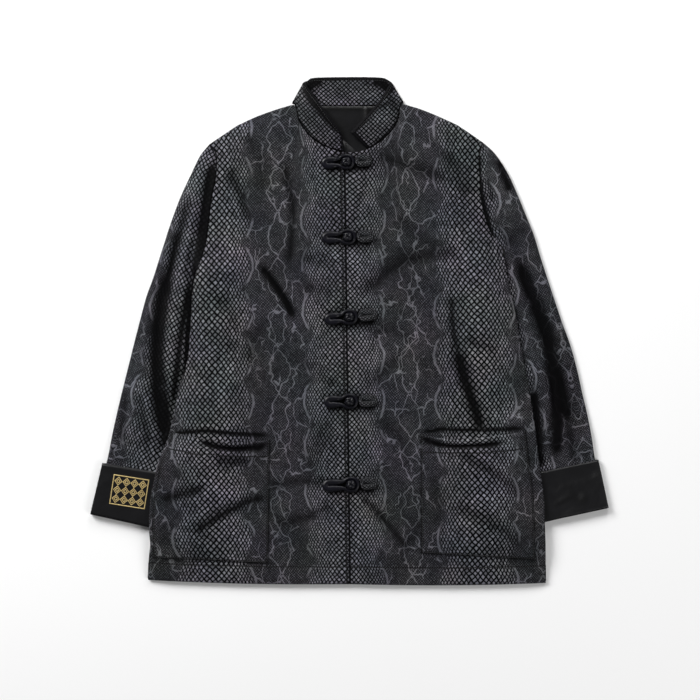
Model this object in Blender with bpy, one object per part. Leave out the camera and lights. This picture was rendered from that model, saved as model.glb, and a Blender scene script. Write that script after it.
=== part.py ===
"""Mandarin collar jacket, laid flat on its back with the front up.

The jacket lies on the plane z = 0, collar towards +Y. Left and right are the wearer's, so the
right front is on the -X side. All sizes below are in millimetres; the meshes are in metres.
Each panel is a wall of cloth: a grid of points for its upper face and one for its under face.
"""

import math

import bmesh
import bpy
from mathutils import Vector
from mathutils.bvhtree import BVHTree

MM = 0.001

# Driving sizes
CLOTH = 2.2            # shell, interlining and satin lining together
POCKET_CLOTH = 1.9
CUFF_CLOTH = 1.5
SATIN = 1.0
UNDERLAP_CLOTH = 1.2
COLLAR_CLOTH = 2.2
SEAM = 0.35            # gap between two pieces at a seam
BODY_AIR = 2.7         # between the front and the back where they lie on each other
NECK_AIR = 3.5         # more at the neckline, over the lining and the underlap
EDGE_ROUND = 38.0      # width over which a panel rises from its sewn edge
RAMP = 46.0            # width over which the back rises onto the sleeve under it
TUCK_MARGIN = 5.0
HEM_EXTRA = 0.8        # the turned-up hem's extra thickness
HEM_ZONE, HEM_SHARE = 70.0, 0.75       # towards the hem the front lies closer to the back
NECK_FLAT, NECK_BLEND = 26.0, 50.0     # width of the fold-free strip round the neckline, and its blend
CENTRE_FLAT, CENTRE_BLEND = 20.0, 16.0
CENTRE_LEAST, PANEL_LEAST = 2.1, 0.5   # the least air over the underlap, and over the rest of the back
LENGTH_TOP, LENGTH_BOTTOM = 266.5, -379.0    # centre front, neck to hem
CENTRE_TOP_X, CENTRE_BOTTOM_X = -6.6, 1.5    # the centre front leans a little
CENTRE_GAP = 0.5
HEM_BOW = 2.5
LAYOUT_SHIFT = (-0.75, 0.5)    # puts the middle of the laid jacket's outline on the origin

# One row for each level of the body, from the hem up. The side edges are the side seam, and the
# armhole seam from the armpit up. tuck is how far the sleeve lies under the body there, lift is
# how high that raises the back, and mouth is how far the armhole stands open.
LEVEL_COLUMNS = ("right_x", "right_y", "left_x", "left_y", "tuck", "lift", "mouth")
LEVELS = [
    (-301.0, -373.0, 294.6, -377.5, 0, 0.0, 0.0),
    (-299.4, -350.0, 293.8, -351.0, 20, 4.0, 0.0),
    (-298.6, -339.0, 293.5, -343.0, 30, 6.5, 0.0),
    (-296.5, -319.0, 293.0, -321.0, 50, 10.0, 0.0),
    (-298.2, -295.0, 292.2, -295.0, 62, 10.4, 0.0),
    (-297.5, -270.0, 291.6, -270.0, 66, 10.4, 0.0),
    (-295.0, -245.0, 290.0, -245.0, 68, 10.4, 0.0),
    (-289.7, -220.0, 286.8, -220.0, 70, 10.4, 0.0),
    (-285.4, -198.0, 284.0, -198.0, 70, 10.0, 0.0),
    (-276.0, -176.0, 281.3, -176.0, 68, 8.0, 0.0),
    (-268.0, -153.0, 278.4, -151.0, 66, 6.4, 0.0),
    (-262.3, -130.0, 275.4, -130.0, 66, 6.2, 0.0),
    (-257.5, -105.0, 271.2, -103.0, 66, 6.2, 0.0),
    (-252.0, -80.0, 267.2, -75.0, 64, 6.2, 0.0),
    (-243.5, -55.0, 260.5, -45.0, 60, 6.2, 0.0),
    (-238.7, -30.0, 255.0, -14.0, 56, 6.2, 0.0),
    (-236.7, 0.0, 249.5, 20.0, 44, 6.2, 0.0),
    (-235.0, 30.0, 241.5, 56.0, 26, 6.2, 0.0),
    (-233.4, 60.0, 234.5, 92.0, 10, 6.2, 0.0),
    (-226.5, 92.0, 226.5, 128.0, 4, 6.0, 0.0),
    (-219.0, 112.0, 213.0, 144.0, 0, 3.0, 1.6),
    (-213.5, 132.0, 206.4, 160.0, 0, 1.0, 2.6),
    (-210.6, 152.0, 201.8, 175.0, 0, 0.0, 3.0),
    (-208.5, 172.0, 198.3, 190.0, 0, 0.0, 3.0),
    (-206.0, 192.0, 196.4, 205.0, 0, 0.0, 3.0),
    (-202.5, 212.0, 195.6, 220.0, 0, 0.0, 2.8),
    (-198.6, 232.0, 194.8, 236.0, 0, 0.0, 2.4),
    (-197.5, 250.0, 194.0, 252.0, 0, 0.0, 1.8),
    (-198.5, 266.0, 195.3, 268.0, 0, 0.0, 1.0),
    (-208.0, 279.5, 199.5, 282.0, 0, 0.0, 0.0),
]
ARMPIT = 19            # the level of the armpit
TOP = len(LEVELS) - 1  # the level of the shoulder tip
TOP_BLEND = 15         # from this level up the rows bend towards the neck and shoulder
HEM_ROWS = 2

# Neckline of each front from the centre front to the shoulder, then the shoulder line to its tip.
NECKLINE = {
    "right": [(-6.6, 266.5), (-28.5, 271.0), (-51.5, 283.5), (-67.5, 299.5), (-77.5, 317.0), (-81.5, 337.0)],
    "left": [(-6.6, 266.5), (16.0, 266.5), (39.0, 275.5), (59.5, 292.5), (74.5, 311.0), (78.5, 337.5)],
}
SHOULDER = {
    "right": [(-81.5, 337.0), (-100.0, 333.5), (-121.5, 326.5), (-145.5, 317.5), (-170.0, 305.0), (-208.0, 279.5)],
    "left": [(78.5, 337.5), (98.0, 334.5), (120.0, 326.5), (141.0, 317.5), (166.0, 305.5), (199.5, 282.0)],
}
BACK_NECK_DIP = 1.5
NECK_SHARE = 0.42      # share of the top row that is neckline

# Patch pockets. inner_top and inner_bottom are the distances of the inner edge from the centre
# front, outer is the outer edge as a share of the front's outer part, and bend shifts the rows.
POCKET_BOTTOM_LEVEL, POCKET_HEM_LEVEL, POCKET_TOP_LEVEL = 2, 9, 10
POCKETS = {
    "right": {"inner_top": 117.5, "inner_bottom": 122.5, "outer": 0.972, "bend_top": -7.0, "bend_bottom": -5.0},
    "left": {"inner_top": 109.0, "inner_bottom": 107.0, "outer": 0.914, "bend_top": -1.0, "bend_bottom": 12.0},
}
POCKET_AIR = 0.9
POCKET_GAPE = 3.4      # how far the mouth stands off the front
MOUTH_SAG = 8.0        # how far the mouth's edge sags towards the hem
INNER_COLUMNS = 7      # columns from the centre front to the pocket's inner edge
POCKET_COLUMNS = 7     # columns across the pocket
EDGE_COLUMN = 0.6      # one more column between the pocket's outer edge and the side
RAMP_STEPS = (1.0, 0.62, 0.3, 0.0)     # columns of the back across the rise onto the sleeve
TUCK_STEP = 0.45

# Largest folds of the cloth: each a soft ridge (height above 0) or trough (below 0) along a line.
FOLD_COLUMNS = ("x1", "y1", "x2", "y2", "width", "height")
FOLDS = [
    (-133, 90, -86, 20, 13, -2.2),
    (-118, 96, -70, 28, 15, 2.6),
    (-175, 240, -147, 178, 14, -1.8),
    (-158, 250, -126, 186, 16, 2.2),
    (-92, 236, -80, 176, 12, -1.5),
    (-92, 143, -88, 106, 12, -1.4),
    (-206, 110, -160, 60, 40, 2.4),
    (-190, -40, -160, -110, 42, 2.6),
    (-232, -296, -130, -252, 14, -1.6),
    (-226, -276, -134, -232, 16, 2.2),
    (-96, -229, -30, -224, 12, 1.6),
    (-70, -120, -60, -40, 40, 1.2),
    (31, 61, 69, 103, 15, -1.6),
    (69, 103, 166, 121, 17, -1.8),
    (60, 78, 150, 92, 22, 2.0),
    (30, 256, 121, 248, 13, 1.8),
    (121, 248, 151, 226, 13, 1.6),
    (154, 31, 163, -44, 12, -2.4),
    (163, -44, 199, -146, 12, -2.4),
    (176, 34, 186, -44, 18, 2.6),
    (186, -44, 222, -140, 18, 2.4),
    (19, -254, 91, -329, 14, -1.4),
    (36, -244, 106, -318, 16, 1.8),
    (166, -194, 262, -284, 15, -1.4),
    (150, -214, 244, -304, 17, 2.0),
    (160, 110, 205, 84, 36, 2.2),
    (100, -20, 112, -100, 46, 1.4),
]
SLEEVE_FOLDS = [
    (-283, 61, -288, -14, 10, -2.6),
    (-288, -14, -283, -104, 10, -2.6),
    (-283, -104, -273, -164, 10, -2.2),
    (-262, 58, -264, -90, 12, 2.0),
    (-306, 10, -316, -90, 14, 2.2),
    (-250, 196, -244, 130, 12, 2.2),
    (-300, -120, -318, -170, 12, 2.0),
    (249, 113, 286, 16, 11, -2.6),
    (286, 16, 316, -59, 11, -2.6),
    (316, -59, 331, -134, 11, -2.4),
    (264, 60, 268, -20, 13, 2.2),
    (292, -50, 300, -160, 12, 1.8),
    (240, 200, 262, 150, 12, 2.2),
    (223, 226, 224, 206, 10, -1.6),
    (306, 60, 332, 0, 11, 2.0),
]

# Sleeves: one row for each ring from the armhole down. outer is the fold along the top of the
# arm, edge is where the sleeve goes under the body, inner is the fold that lies under the body.
RING_COLUMNS = ("outer_x", "outer_y", "edge_x", "edge_y", "inner_x", "inner_y")
FAN = 6                # rings 0 to FAN turn from the armhole seam to square across the sleeve
FAN_EASE = 1.45        # above 1 they turn sooner
FAN_OUTER = {
    "right": [(-208, 279.5), (-223, 261), (-237, 232), (-251, 202), (-265, 165), (-279, 122), (-293, 78)],
    "left": [(199.5, 282), (218, 265), (236, 238), (250, 208), (263, 176), (276, 144), (286, 111)],
}
FAN_INNER = {
    "right": [(-226.85, 92), (-229.2, 88.3), (-230.2, 83.4), (-230.2, 77.3), (-228.8, 70.5), (-226.8, 64.2), (-224, 58)],
    "left": [(226.8, 128.2), (229.9, 126.4), (232.4, 122.6), (233.4, 116.4), (232.6, 108.4), (229.9, 99.6), (225, 90)],
}
RINGS = {
    "right": [
        (-293, 78, -236, 62, -224, 58),
        (-302.5, 52, -239.5, 34, -222, 28),
        (-312, 17, -240.5, -3, -205, -12),
        (-321, -18, -243, -40, -193, -52),
        (-330, -54, -254.5, -76, -192, -92),
        (-339, -90, -262.5, -112, -199, -130),
        (-347.5, -126, -270, -148, -209, -166),
        (-355, -160, -282, -180, -220, -198),
        (-360.5, -190, -291.5, -211, -229, -226),
        (-370, -228, -299, -250, -240, -266),
        (-379.5, -268, -302, -288, -248, -300),
    ],
    "left": [
        (286, 111, 236.5, 97, 225, 90),
        (295, 83, 243, 68, 226, 62),
        (307, 47, 251, 31, 214, 20),
        (319, 11, 257.5, -6, 206, -20),
        (331, -22, 264, -41, 204, -58),
        (341, -58, 271.5, -78, 206, -96),
        (349, -94, 277, -114, 210, -132),
        (357, -128, 282, -149, 215, -166),
        (363, -160, 286, -181, 221, -198),
        (369, -200, 291, -224, 228, -238),
        (381, -258, 295.5, -279, 236, -291),
    ],
}
SLEEVE_SHARES = (0, 0.10, 0.26, 0.44, 0.62, 0.79, 0.92, 1)    # ring points from outer to edge
TUCKED = 3                                                    # then this many more to inner
SLEEVE_PROFILE = (5.4, 7.3, 8.0, 8.0, 8.0, 7.8, 6.8, 5.1, 5.1, 5.1, 4.9)
SLEEVE_END_PROFILE = (5.2, 5.8, 6.0, 6.0, 6.0, 6.0, 5.6, 5.1, 5.1, 5.1, 4.9)
CUFF_RINGS = 3         # the last rings lie inside the cuff
SLEEVE_RISE = 1.9      # the sleeve's end lies on the cuff's back
FOLD_POINT = 1.2       # a flat tube's edge stands out this far past its last ring point

CUFFS = {
    "right": {
        "top": (-369, -199, -292, -211.5, -226, -229),
        "bottom": (-387, -275.5, -302.5, -294, -242, -306),
    },
    "left": {
        "top": (373, -194, 291, -211, 221, -222),
        "bottom": (388.5, -266, 296, -286, 230, -298),
    },
}
CUFF_AIR = 0.4
CUFF_LIP = 0.7
CUFF_SHARES = (0.0, 0.34, 0.67, 1.0)

# Collar: one row for each section from the right front end round the back to the left front end.
# lower is the neck seam and upper the free edge, on the middle of the wall.
COLLAR_COLUMNS = ("lower_x", "lower_y", "lower_z", "upper_x", "upper_y", "upper_z")
COLLAR = [
    (-7.5, 268.6, 6.9, -11.0, 294.0, 14.0),
    (-18.0, 270.6, 6.9, -16.0, 301.0, 14.6),
    (-28.5, 273.2, 6.9, -22.5, 309.0, 14.8),
    (-40.0, 278.6, 6.9, -29.5, 318.5, 14.4),
    (-50.3, 285.6, 6.9, -37.0, 329.0, 13.4),
    (-60.0, 294.0, 6.8, -45.0, 340.0, 12.0),
    (-66.0, 301.0, 6.6, -51.5, 349.0, 10.4),
    (-71.8, 310.8, 6.0, -57.3, 357.0, 8.6),
    (-76.5, 320.5, 5.2, -62.0, 363.5, 7.0),
    (-78.2, 332.2, 4.5, -64.4, 368.5, 5.6),
    (-81.6, 340.2, 3.9, -66.2, 370.4, 4.2),
    (-84.6, 341.6, 2.5, -67.4, 372.4, 2.6),
    (-81.4, 340.6, 1.15, -62.6, 374.4, 1.15),
    (-69.0, 337.8, 1.1, -57.0, 378.0, 1.1),
    (-48.0, 336.9, 1.1, -44.0, 379.2, 1.1),
    (-24.0, 336.4, 1.1, -22.0, 379.6, 1.1),
    (0.0, 336.3, 1.1, 0.0, 379.8, 1.1),
    (24.0, 336.7, 1.1, 22.0, 379.8, 1.1),
    (46.0, 337.3, 1.1, 42.0, 379.4, 1.1),
    (66.5, 338.2, 1.1, 53.5, 378.0, 1.1),
    (78.4, 340.2, 1.15, 60.6, 374.6, 1.15),
    (81.4, 341.8, 2.5, 63.4, 371.6, 2.6),
    (78.6, 340.4, 3.9, 62.4, 369.4, 4.2),
    (75.6, 332.4, 4.5, 58.8, 364.0, 5.6),
    (73.8, 322.4, 5.2, 54.6, 356.5, 7.0),
    (71.2, 312.8, 6.0, 48.8, 347.5, 8.6),
    (66.0, 303.5, 6.6, 42.0, 338.0, 10.4),
    (58.0, 294.0, 6.9, 33.5, 328.0, 12.2),
    (47.6, 285.6, 6.9, 24.0, 317.5, 13.6),
    (38.0, 278.2, 6.9, 14.0, 307.0, 14.2),
    (27.0, 273.4, 6.9, 3.0, 296.0, 14.0),
]
COLLAR_ROWS = 4
COLLAR_CROWN = 1.0     # the band bows up between its edges at the front
CROWN_FROM, CROWN_BLEND = 4.5, 2.0     # where the neck seam is this high, and over this much more

# Plain satin lining that shows in the neck, and the strip under the centre front
LINING_TOP_X, LINING_LOW_X = (-70.0, 66.0), (-46.0, 40.0)
LINING_Y = (246.0, 337.0)
LINING_FADE = 60.0     # the pleats fade in over this much of the lining's height
LINING_INSET = 0.6
LINING_COLUMNS, LINING_ROWS = 14, 5
LINING_PLEATS = [(28.0, 5.0, 1.3), (38.0, 4.5, 1.0)]          # x, width, height at the neck seam
UNDERLAP_HALF = 17.0
UNDERLAP_TIP_Y, UNDERLAP_SIDE_Y = 286.0, 268.0
UNDERLAP_ROWS = 24
UNDERLAP_ACROSS = (-1.0, -0.3, 1.0)
UNDERLAP_HEM, UNDERLAP_ASIDE = 4.0, 2.0
UNDERLAP_CLIMB, UNDERLAP_CLIMB_LENGTH = 34.0, 24.0     # where it climbs onto the lining

# Frogs: y and x of the knot, how far each wing reaches from it, and the tilt in degrees.
FROG_COLUMNS = ("y", "x", "right_wing", "left_wing", "tilt")
FROGS = [
    (252.5, -6.0, 35.5, 41.0, 3.5),
    (140.0, -4.0, 37.0, 42.0, 1.3),
    (20.0, -1.5, 36.0, 45.0, 6.0),
    (-106.0, -1.0, 37.0, 44.0, 1.3),
    (-230.5, 1.0, 41.0, 42.0, 2.7),
]
CORD_WIDE, CORD_NARROW, CORD_HIGH = 7.2, 4.0, 4.4
CORD_OFFSET = 4.15     # each cord of a wing runs this far from the wing's middle line
KNOT_CENTRE = 2.0
KNOT_RADII = (6.5, 6.2, 4.7)
LOOP_END = 12.2
STEM_START = 18.4
CORD_SIDES = 8
LOOP_STEPS, WING_STEPS = 26, 16
RAY_FROM = 200.0

JACQUARD = ((0.022, 0.022, 0.025), 0.45)
BLACK_SATIN = ((0.008, 0.009, 0.013), 0.32)
CORD_SATIN = ((0.014, 0.014, 0.016), 0.40)


def smooth(t):
    """0 below 0, 1 above 1 and a soft step between."""
    t = min(max(t, 0.0), 1.0)
    return t * t * (3.0 - 2.0 * t)


def mix(a, b, t):
    return a + (b - a) * t


def mix_points(p, q, t):
    return tuple(mix(a, b, t) for a, b in zip(p, q))


def sign_of(side):
    """-1 on the wearer's right, +1 on the left."""
    return -1.0 if side == "right" else 1.0


def along(points, share):
    """The point at a share of a polyline's length."""
    lengths = [math.dist(p, q) for p, q in zip(points, points[1:])]
    wanted = min(max(share, 0.0), 1.0) * sum(lengths)
    for p, q, length in zip(points, points[1:], lengths):
        if wanted <= length or q is points[-1]:
            return mix_points(p, q, min(wanted / length, 1.0))
        wanted -= length


def spline_along(points, share, closed=False):
    """The point at a share of a smooth curve that passes through the points."""
    n = len(points)
    spans = n if closed else n - 1
    place = min(max(share, 0.0), 1.0) * spans
    i = min(int(place), spans - 1)
    t = place - i

    def point(k):
        return points[k % n] if closed else points[min(max(k, 0), n - 1)]

    p0, p1, p2, p3 = point(i - 1), point(i), point(i + 1), point(i + 2)
    return tuple(
        0.5 * (2 * b + (c - a) * t + (2 * a - 5 * b + 4 * c - d) * t * t + (3 * b - a - 3 * c + d) * t ** 3)
        for a, b, c, d in zip(p0, p1, p2, p3)
    )


def distance_to_line(x, y, points):
    """Shortest distance from a point to a polyline."""
    best = 1e9
    for (ax, ay), (bx, by) in zip(points, points[1:]):
        dx, dy = bx - ax, by - ay
        t = ((x - ax) * dx + (y - ay) * dy) / (dx * dx + dy * dy)
        t = min(max(t, 0.0), 1.0)
        best = min(best, math.hypot(x - ax - t * dx, y - ay - t * dy))
    return best


def fold_height(x, y, folds):
    """Sum of the soft ridges and troughs of a fold table at a point."""
    total = 0.0
    for x1, y1, x2, y2, width, height in folds:
        dx, dy = x2 - x1, y2 - y1
        t = ((x - x1) * dx + (y - y1) * dy) / (dx * dx + dy * dy)
        inside = min(max(t, 0.0), 1.0)
        away = math.hypot(x - x1 - inside * dx, y - y1 - inside * dy)
        total += height * math.exp(-((away / width) ** 2))
    return total


# Plan of the body

def level_value(k, column):
    return LEVELS[k][LEVEL_COLUMNS.index(column)]


def side_point(side, k):
    """The body's edge at a level: side seam, or armhole seam above the armpit."""
    return level_value(k, side + "_x"), level_value(k, side + "_y")


def centre_point(k):
    """The centre front line at a level."""
    middle = 0.5 * (level_value(k, "right_y") + level_value(k, "left_y"))
    low = 0.5 * (level_value(0, "right_y") + level_value(0, "left_y"))
    high = 0.5 * (level_value(TOP, "right_y") + level_value(TOP, "left_y"))
    share = (middle - low) / (high - low)
    return mix(CENTRE_BOTTOM_X, CENTRE_TOP_X, share), mix(LENGTH_BOTTOM, LENGTH_TOP, share)


def row_length(side, k):
    return math.dist(side_point(side, k), centre_point(k))


def neck_share(side, k):
    """Share of a row from the centre front to the pocket's inner edge, and to the neck corner above."""
    pocket = POCKETS[side]
    up = (k - POCKET_BOTTOM_LEVEL) / (POCKET_TOP_LEVEL - POCKET_BOTTOM_LEVEL)
    inner = mix(pocket["inner_bottom"], pocket["inner_top"], min(max(up, 0.0), 1.0))
    share = inner / row_length(side, min(k, POCKET_TOP_LEVEL))
    return mix(share, NECK_SHARE, smooth((k - POCKET_TOP_LEVEL) / (TOP - POCKET_TOP_LEVEL)))


def row_bend(side, k):
    """How far a row's middle moves along Y, so that the rows follow the pocket's edges."""
    pocket = POCKETS[side]
    if k <= POCKET_BOTTOM_LEVEL:
        return pocket["bend_bottom"] * k / POCKET_BOTTOM_LEVEL
    if k <= POCKET_TOP_LEVEL:
        up = (k - POCKET_BOTTOM_LEVEL) / (POCKET_TOP_LEVEL - POCKET_BOTTOM_LEVEL)
        return mix(pocket["bend_bottom"], pocket["bend_top"], up)
    return pocket["bend_top"] * max(0.0, 1.0 - (k - POCKET_TOP_LEVEL) / 4.0)


def top_point(side, share, back=False):
    """The neckline and the shoulder line as one run, by share of the top row."""
    if share >= NECK_SHARE:
        return along(SHOULDER[side], (share - NECK_SHARE) / (1.0 - NECK_SHARE))
    if back:
        corner = NECKLINE[side][-1]
        x = mix(0.0, corner[0], share / NECK_SHARE)
        return x, corner[1] - BACK_NECK_DIP * math.cos(0.5 * math.pi * share / NECK_SHARE)
    return along(NECKLINE[side], share / NECK_SHARE)


def plan_point(side, k, share, back=False):
    """Plan of a body panel: share 0 is the centre front, 1 the side."""
    centre, edge = centre_point(k), side_point(side, k)
    if back:
        centre = (0.0, centre[1])
    x, y = mix_points(centre, edge, share)
    if not back:
        corner = neck_share(side, k)
        hump = share / corner if share < corner else (1.0 - share) / (1.0 - corner)
        y += row_bend(side, k) * hump
    y -= HEM_BOW * math.sin(math.pi * share) * max(0.0, 1.0 - k / 3.0)
    weight = (max(0.0, k - TOP_BLEND) / (TOP - TOP_BLEND)) ** 2
    if weight > 0.0:
        start = top_point(side, 0.0, back)
        end = top_point(side, 1.0, back)
        tx, ty = top_point(side, share, back)
        lx, ly = mix_points(start, end, share)
        x += weight * (tx - lx)
        y += weight * (ty - ly)
        if back:
            y += weight * (start[1] - centre_point(TOP)[1]) * (1.0 - share)
    return x, y


def sewn_edge(side):
    """The front's sewn edge: side seam, armhole and shoulder."""
    return [side_point(side, k) for k in range(TOP + 1)] + SHOULDER[side][-2::-1]


# Heights of the body

def back_under(k, away):
    """Height of the back's under face, by the distance from the side edge."""
    reach = level_value(k, "tuck") + TUCK_MARGIN + RAMP
    return level_value(k, "lift") * smooth((reach - away) / RAMP)


def front_air(side, k, x, y, share):
    """Gap between the back's upper face and the front's under face."""
    edge = distance_to_line(x, y, sewn_edge(side))
    rise = 1.0 - (1.0 - min(edge / EDGE_ROUND, 1.0)) ** 2
    neck = 1.0 - smooth((distance_to_line(x, y, NECKLINE[side]) - NECK_FLAT) / NECK_BLEND)
    full = mix(BODY_AIR, NECK_AIR, neck) + fold_height(x, y, FOLDS) * (1.0 - neck)
    full *= mix(HEM_SHARE, 1.0, smooth((y - LENGTH_BOTTOM) / HEM_ZONE))
    from_centre = share * row_length(side, k)
    least = mix(CENTRE_LEAST, PANEL_LEAST, smooth((from_centre - CENTRE_FLAT) / CENTRE_BLEND))
    least = mix(least, NECK_AIR, neck) if from_centre < CENTRE_FLAT + 0.6 * CENTRE_BLEND else least
    seam = SEAM + level_value(k, "mouth")
    return max(mix(seam, full, rise), min(least, mix(seam, least, rise)))


def front_columns(side, k):
    """Shares of the front's columns: up to the pocket, across it, and out to the side."""
    inner = neck_share(side, k)
    outer = inner + (1.0 - inner) * POCKETS[side]["outer"]
    shares = [inner * i / INNER_COLUMNS for i in range(INNER_COLUMNS + 1)]
    shares += [mix(inner, outer, i / POCKET_COLUMNS) for i in range(1, POCKET_COLUMNS + 1)]
    return shares + [mix(outer, 1.0, EDGE_COLUMN), 1.0]


def front_grid(side):
    """Upper and under points of a front panel, by level and column."""
    upper, under = [], []
    for k in range(TOP + 1):
        top_row, under_row = [], []
        thick = CLOTH + (HEM_EXTRA if k < HEM_ROWS else 0.0)
        for share in front_columns(side, k):
            x, y = plan_point(side, k, share)
            away = (1.0 - share) * row_length(side, k)
            z = back_under(k, away) + CLOTH + front_air(side, k, x, y, share)
            if share == 0.0:
                x += sign_of(side) * CENTRE_GAP
            under_row.append((x, y, z))
            top_row.append((x, y, z + thick))
        upper.append(top_row)
        under.append(under_row)
    return upper, under


def back_grid():
    """Upper and under points of the back panel."""
    upper, under = [], []
    for k in range(TOP + 1):
        rows = {}
        for side in ("right", "left"):
            length = row_length(side, k)
            tuck = level_value(k, "tuck") + TUCK_MARGIN
            aways = [tuck + step * RAMP for step in RAMP_STEPS] + [TUCK_STEP * tuck, 0.0]
            outer = [1.0 - away / length for away in aways]
            inner = [0.0, 0.5 * NECK_SHARE, NECK_SHARE]
            rows[side] = []
            for share in inner + [max(s, NECK_SHARE + 0.02 * (i + 1)) for i, s in enumerate(outer)]:
                x, y = plan_point(side, k, share, back=True)
                rows[side].append((x, y, back_under(k, (1.0 - share) * length)))
        row = rows["right"][::-1] + rows["left"][1:]
        under.append(row)
        upper.append([(x, y, z + CLOTH) for x, y, z in row])
    return upper, under


# Meshes

def placed(x, y, z):
    """A point of the tables, in millimetres, as a point of the part in metres."""
    return Vector(((x + LAYOUT_SHIFT[0]) * MM, (y + LAYOUT_SHIFT[1]) * MM, z * MM))


def make_object(name, points, faces, finish):
    """A mesh object in metres with its own material, its faces turned outwards."""
    mesh = bpy.data.meshes.new(name)
    bm = bmesh.new()
    verts = [bm.verts.new(placed(*p)) for p in points]
    for face in faces:
        bm.faces.new([verts[i] for i in face])
    bmesh.ops.recalc_face_normals(bm, faces=bm.faces)
    bm.to_mesh(mesh)
    bm.free()
    colour, roughness = finish
    material = bpy.data.materials.new(name)
    material.use_nodes = True
    shader = material.node_tree.nodes["Principled BSDF"]
    shader.inputs["Base Color"].default_value = (*colour, 1.0)
    shader.inputs["Roughness"].default_value = roughness
    shader.inputs["Metallic"].default_value = 0.0
    mesh.materials.append(material)
    mesh.shade_smooth()
    mesh.set_sharp_from_angle(angle=math.radians(50.0))
    obj = bpy.data.objects.new(name, mesh)
    bpy.context.scene.collection.objects.link(obj)
    return obj


def split_quad(a, b, c, d):
    """Two triangles, always along the same diagonal, so that stacked walls match."""
    return [(a, b, c), (a, c, d)]


def wall_from_grids(name, upper, under, finish):
    """A wall between two grids of the same size, closed round its rim."""
    rows, columns = len(upper), len(upper[0])
    points = [p for row in upper for p in row] + [p for row in under for p in row]
    below = rows * columns
    faces = []
    for i in range(rows - 1):
        for j in range(columns - 1):
            a = i * columns + j
            quad = (a, a + 1, a + columns + 1, a + columns)
            faces += split_quad(*quad)
            faces += split_quad(*(below + v for v in quad))
    rim = [j for j in range(columns)]
    rim += [i * columns + columns - 1 for i in range(1, rows)]
    rim += [(rows - 1) * columns + j for j in range(columns - 2, -1, -1)]
    rim += [i * columns for i in range(rows - 2, 0, -1)]
    for a, b in zip(rim, rim[1:] + rim[:1]):
        faces += split_quad(a, b, below + b, below + a)
    return make_object(name, points, faces, finish)


def wall_from_rings(name, outers, inners, finish):
    """A closed skin through rings that run round and meet again: a tube's wall, outside and inside."""
    rings = outers + inners[::-1]
    count, sides = len(rings), len(rings[0])
    points = [p for ring in rings for p in ring]
    faces = []
    for k in range(count):
        for j in range(sides):
            a, b = k * sides + j, k * sides + (j + 1) % sides
            c, d = (k + 1) % count * sides + (j + 1) % sides, (k + 1) % count * sides + j
            faces += split_quad(a, b, c, d) if k < len(outers) else split_quad(b, c, d, a)
    return make_object(name, points, faces, finish)


# Sleeves and cuffs

def ring_line(outer, edge, inner):
    """Plan of a ring square across the sleeve, from the outer fold to the inner one."""
    line = [mix_points(outer, edge, share) for share in SLEEVE_SHARES]
    return line + [mix_points(edge, inner, i / TUCKED) for i in range(1, TUCKED + 1)]


def armhole_line(side):
    """Plan of the armhole seam from the shoulder tip to the armpit, a seam's gap outside the body."""
    seam = [side_point(side, k) for k in range(TOP, ARMPIT - 1, -1)]
    line = []
    for i, (x, y) in enumerate(seam):
        before, after = seam[max(i - 1, 0)], seam[min(i + 1, len(seam) - 1)]
        dx, dy = after[0] - before[0], after[1] - before[1]
        length = math.hypot(dx, dy)
        turn = -sign_of(side)
        line.append((x + turn * SEAM * dy / length, y - turn * SEAM * dx / length))
    return line


def sleeve_line(side, k):
    """Plan of the sleeve's ring k."""
    if k >= FAN:
        row = RINGS[side][k - FAN]
        return ring_line(row[0:2], row[2:4], row[4:6])
    first = armhole_line(side)
    last = sleeve_line(side, FAN)
    if k == 0:
        return first
    return turned_line(first, last, k / FAN, FAN_OUTER[side][k], FAN_INNER[side][k])


def turned_line(first, last, t, start, end):
    """A line between two others: each of its steps is turned and stretched from one to the other."""
    steps, reached = [], [0.0]
    for j in range(len(first) - 1):
        a = [q - p for p, q in zip(first[j], first[j + 1])]
        b = [q - p for p, q in zip(last[j], last[j + 1])]
        angle = math.atan2(a[1], a[0])
        turn = (math.atan2(b[1], b[0]) - angle + math.pi) % (2.0 * math.pi) - math.pi
        length = mix(math.hypot(*a), math.hypot(*b), t)
        angle += turn * (1.0 - (1.0 - t) ** FAN_EASE)
        steps.append((length * math.cos(angle), length * math.sin(angle)))
        reached.append(reached[-1] + length)
    down, up = [start], [end]
    for dx, dy in steps:
        down.append((down[-1][0] + dx, down[-1][1] + dy))
    for dx, dy in steps[::-1]:
        up.append((up[-1][0] - dx, up[-1][1] - dy))
    return [mix_points(p, q, smooth(r / reached[-1])) for p, q, r in zip(down, up[::-1], reached)]


def ring_count(side):
    return FAN + len(RINGS[side])


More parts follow.
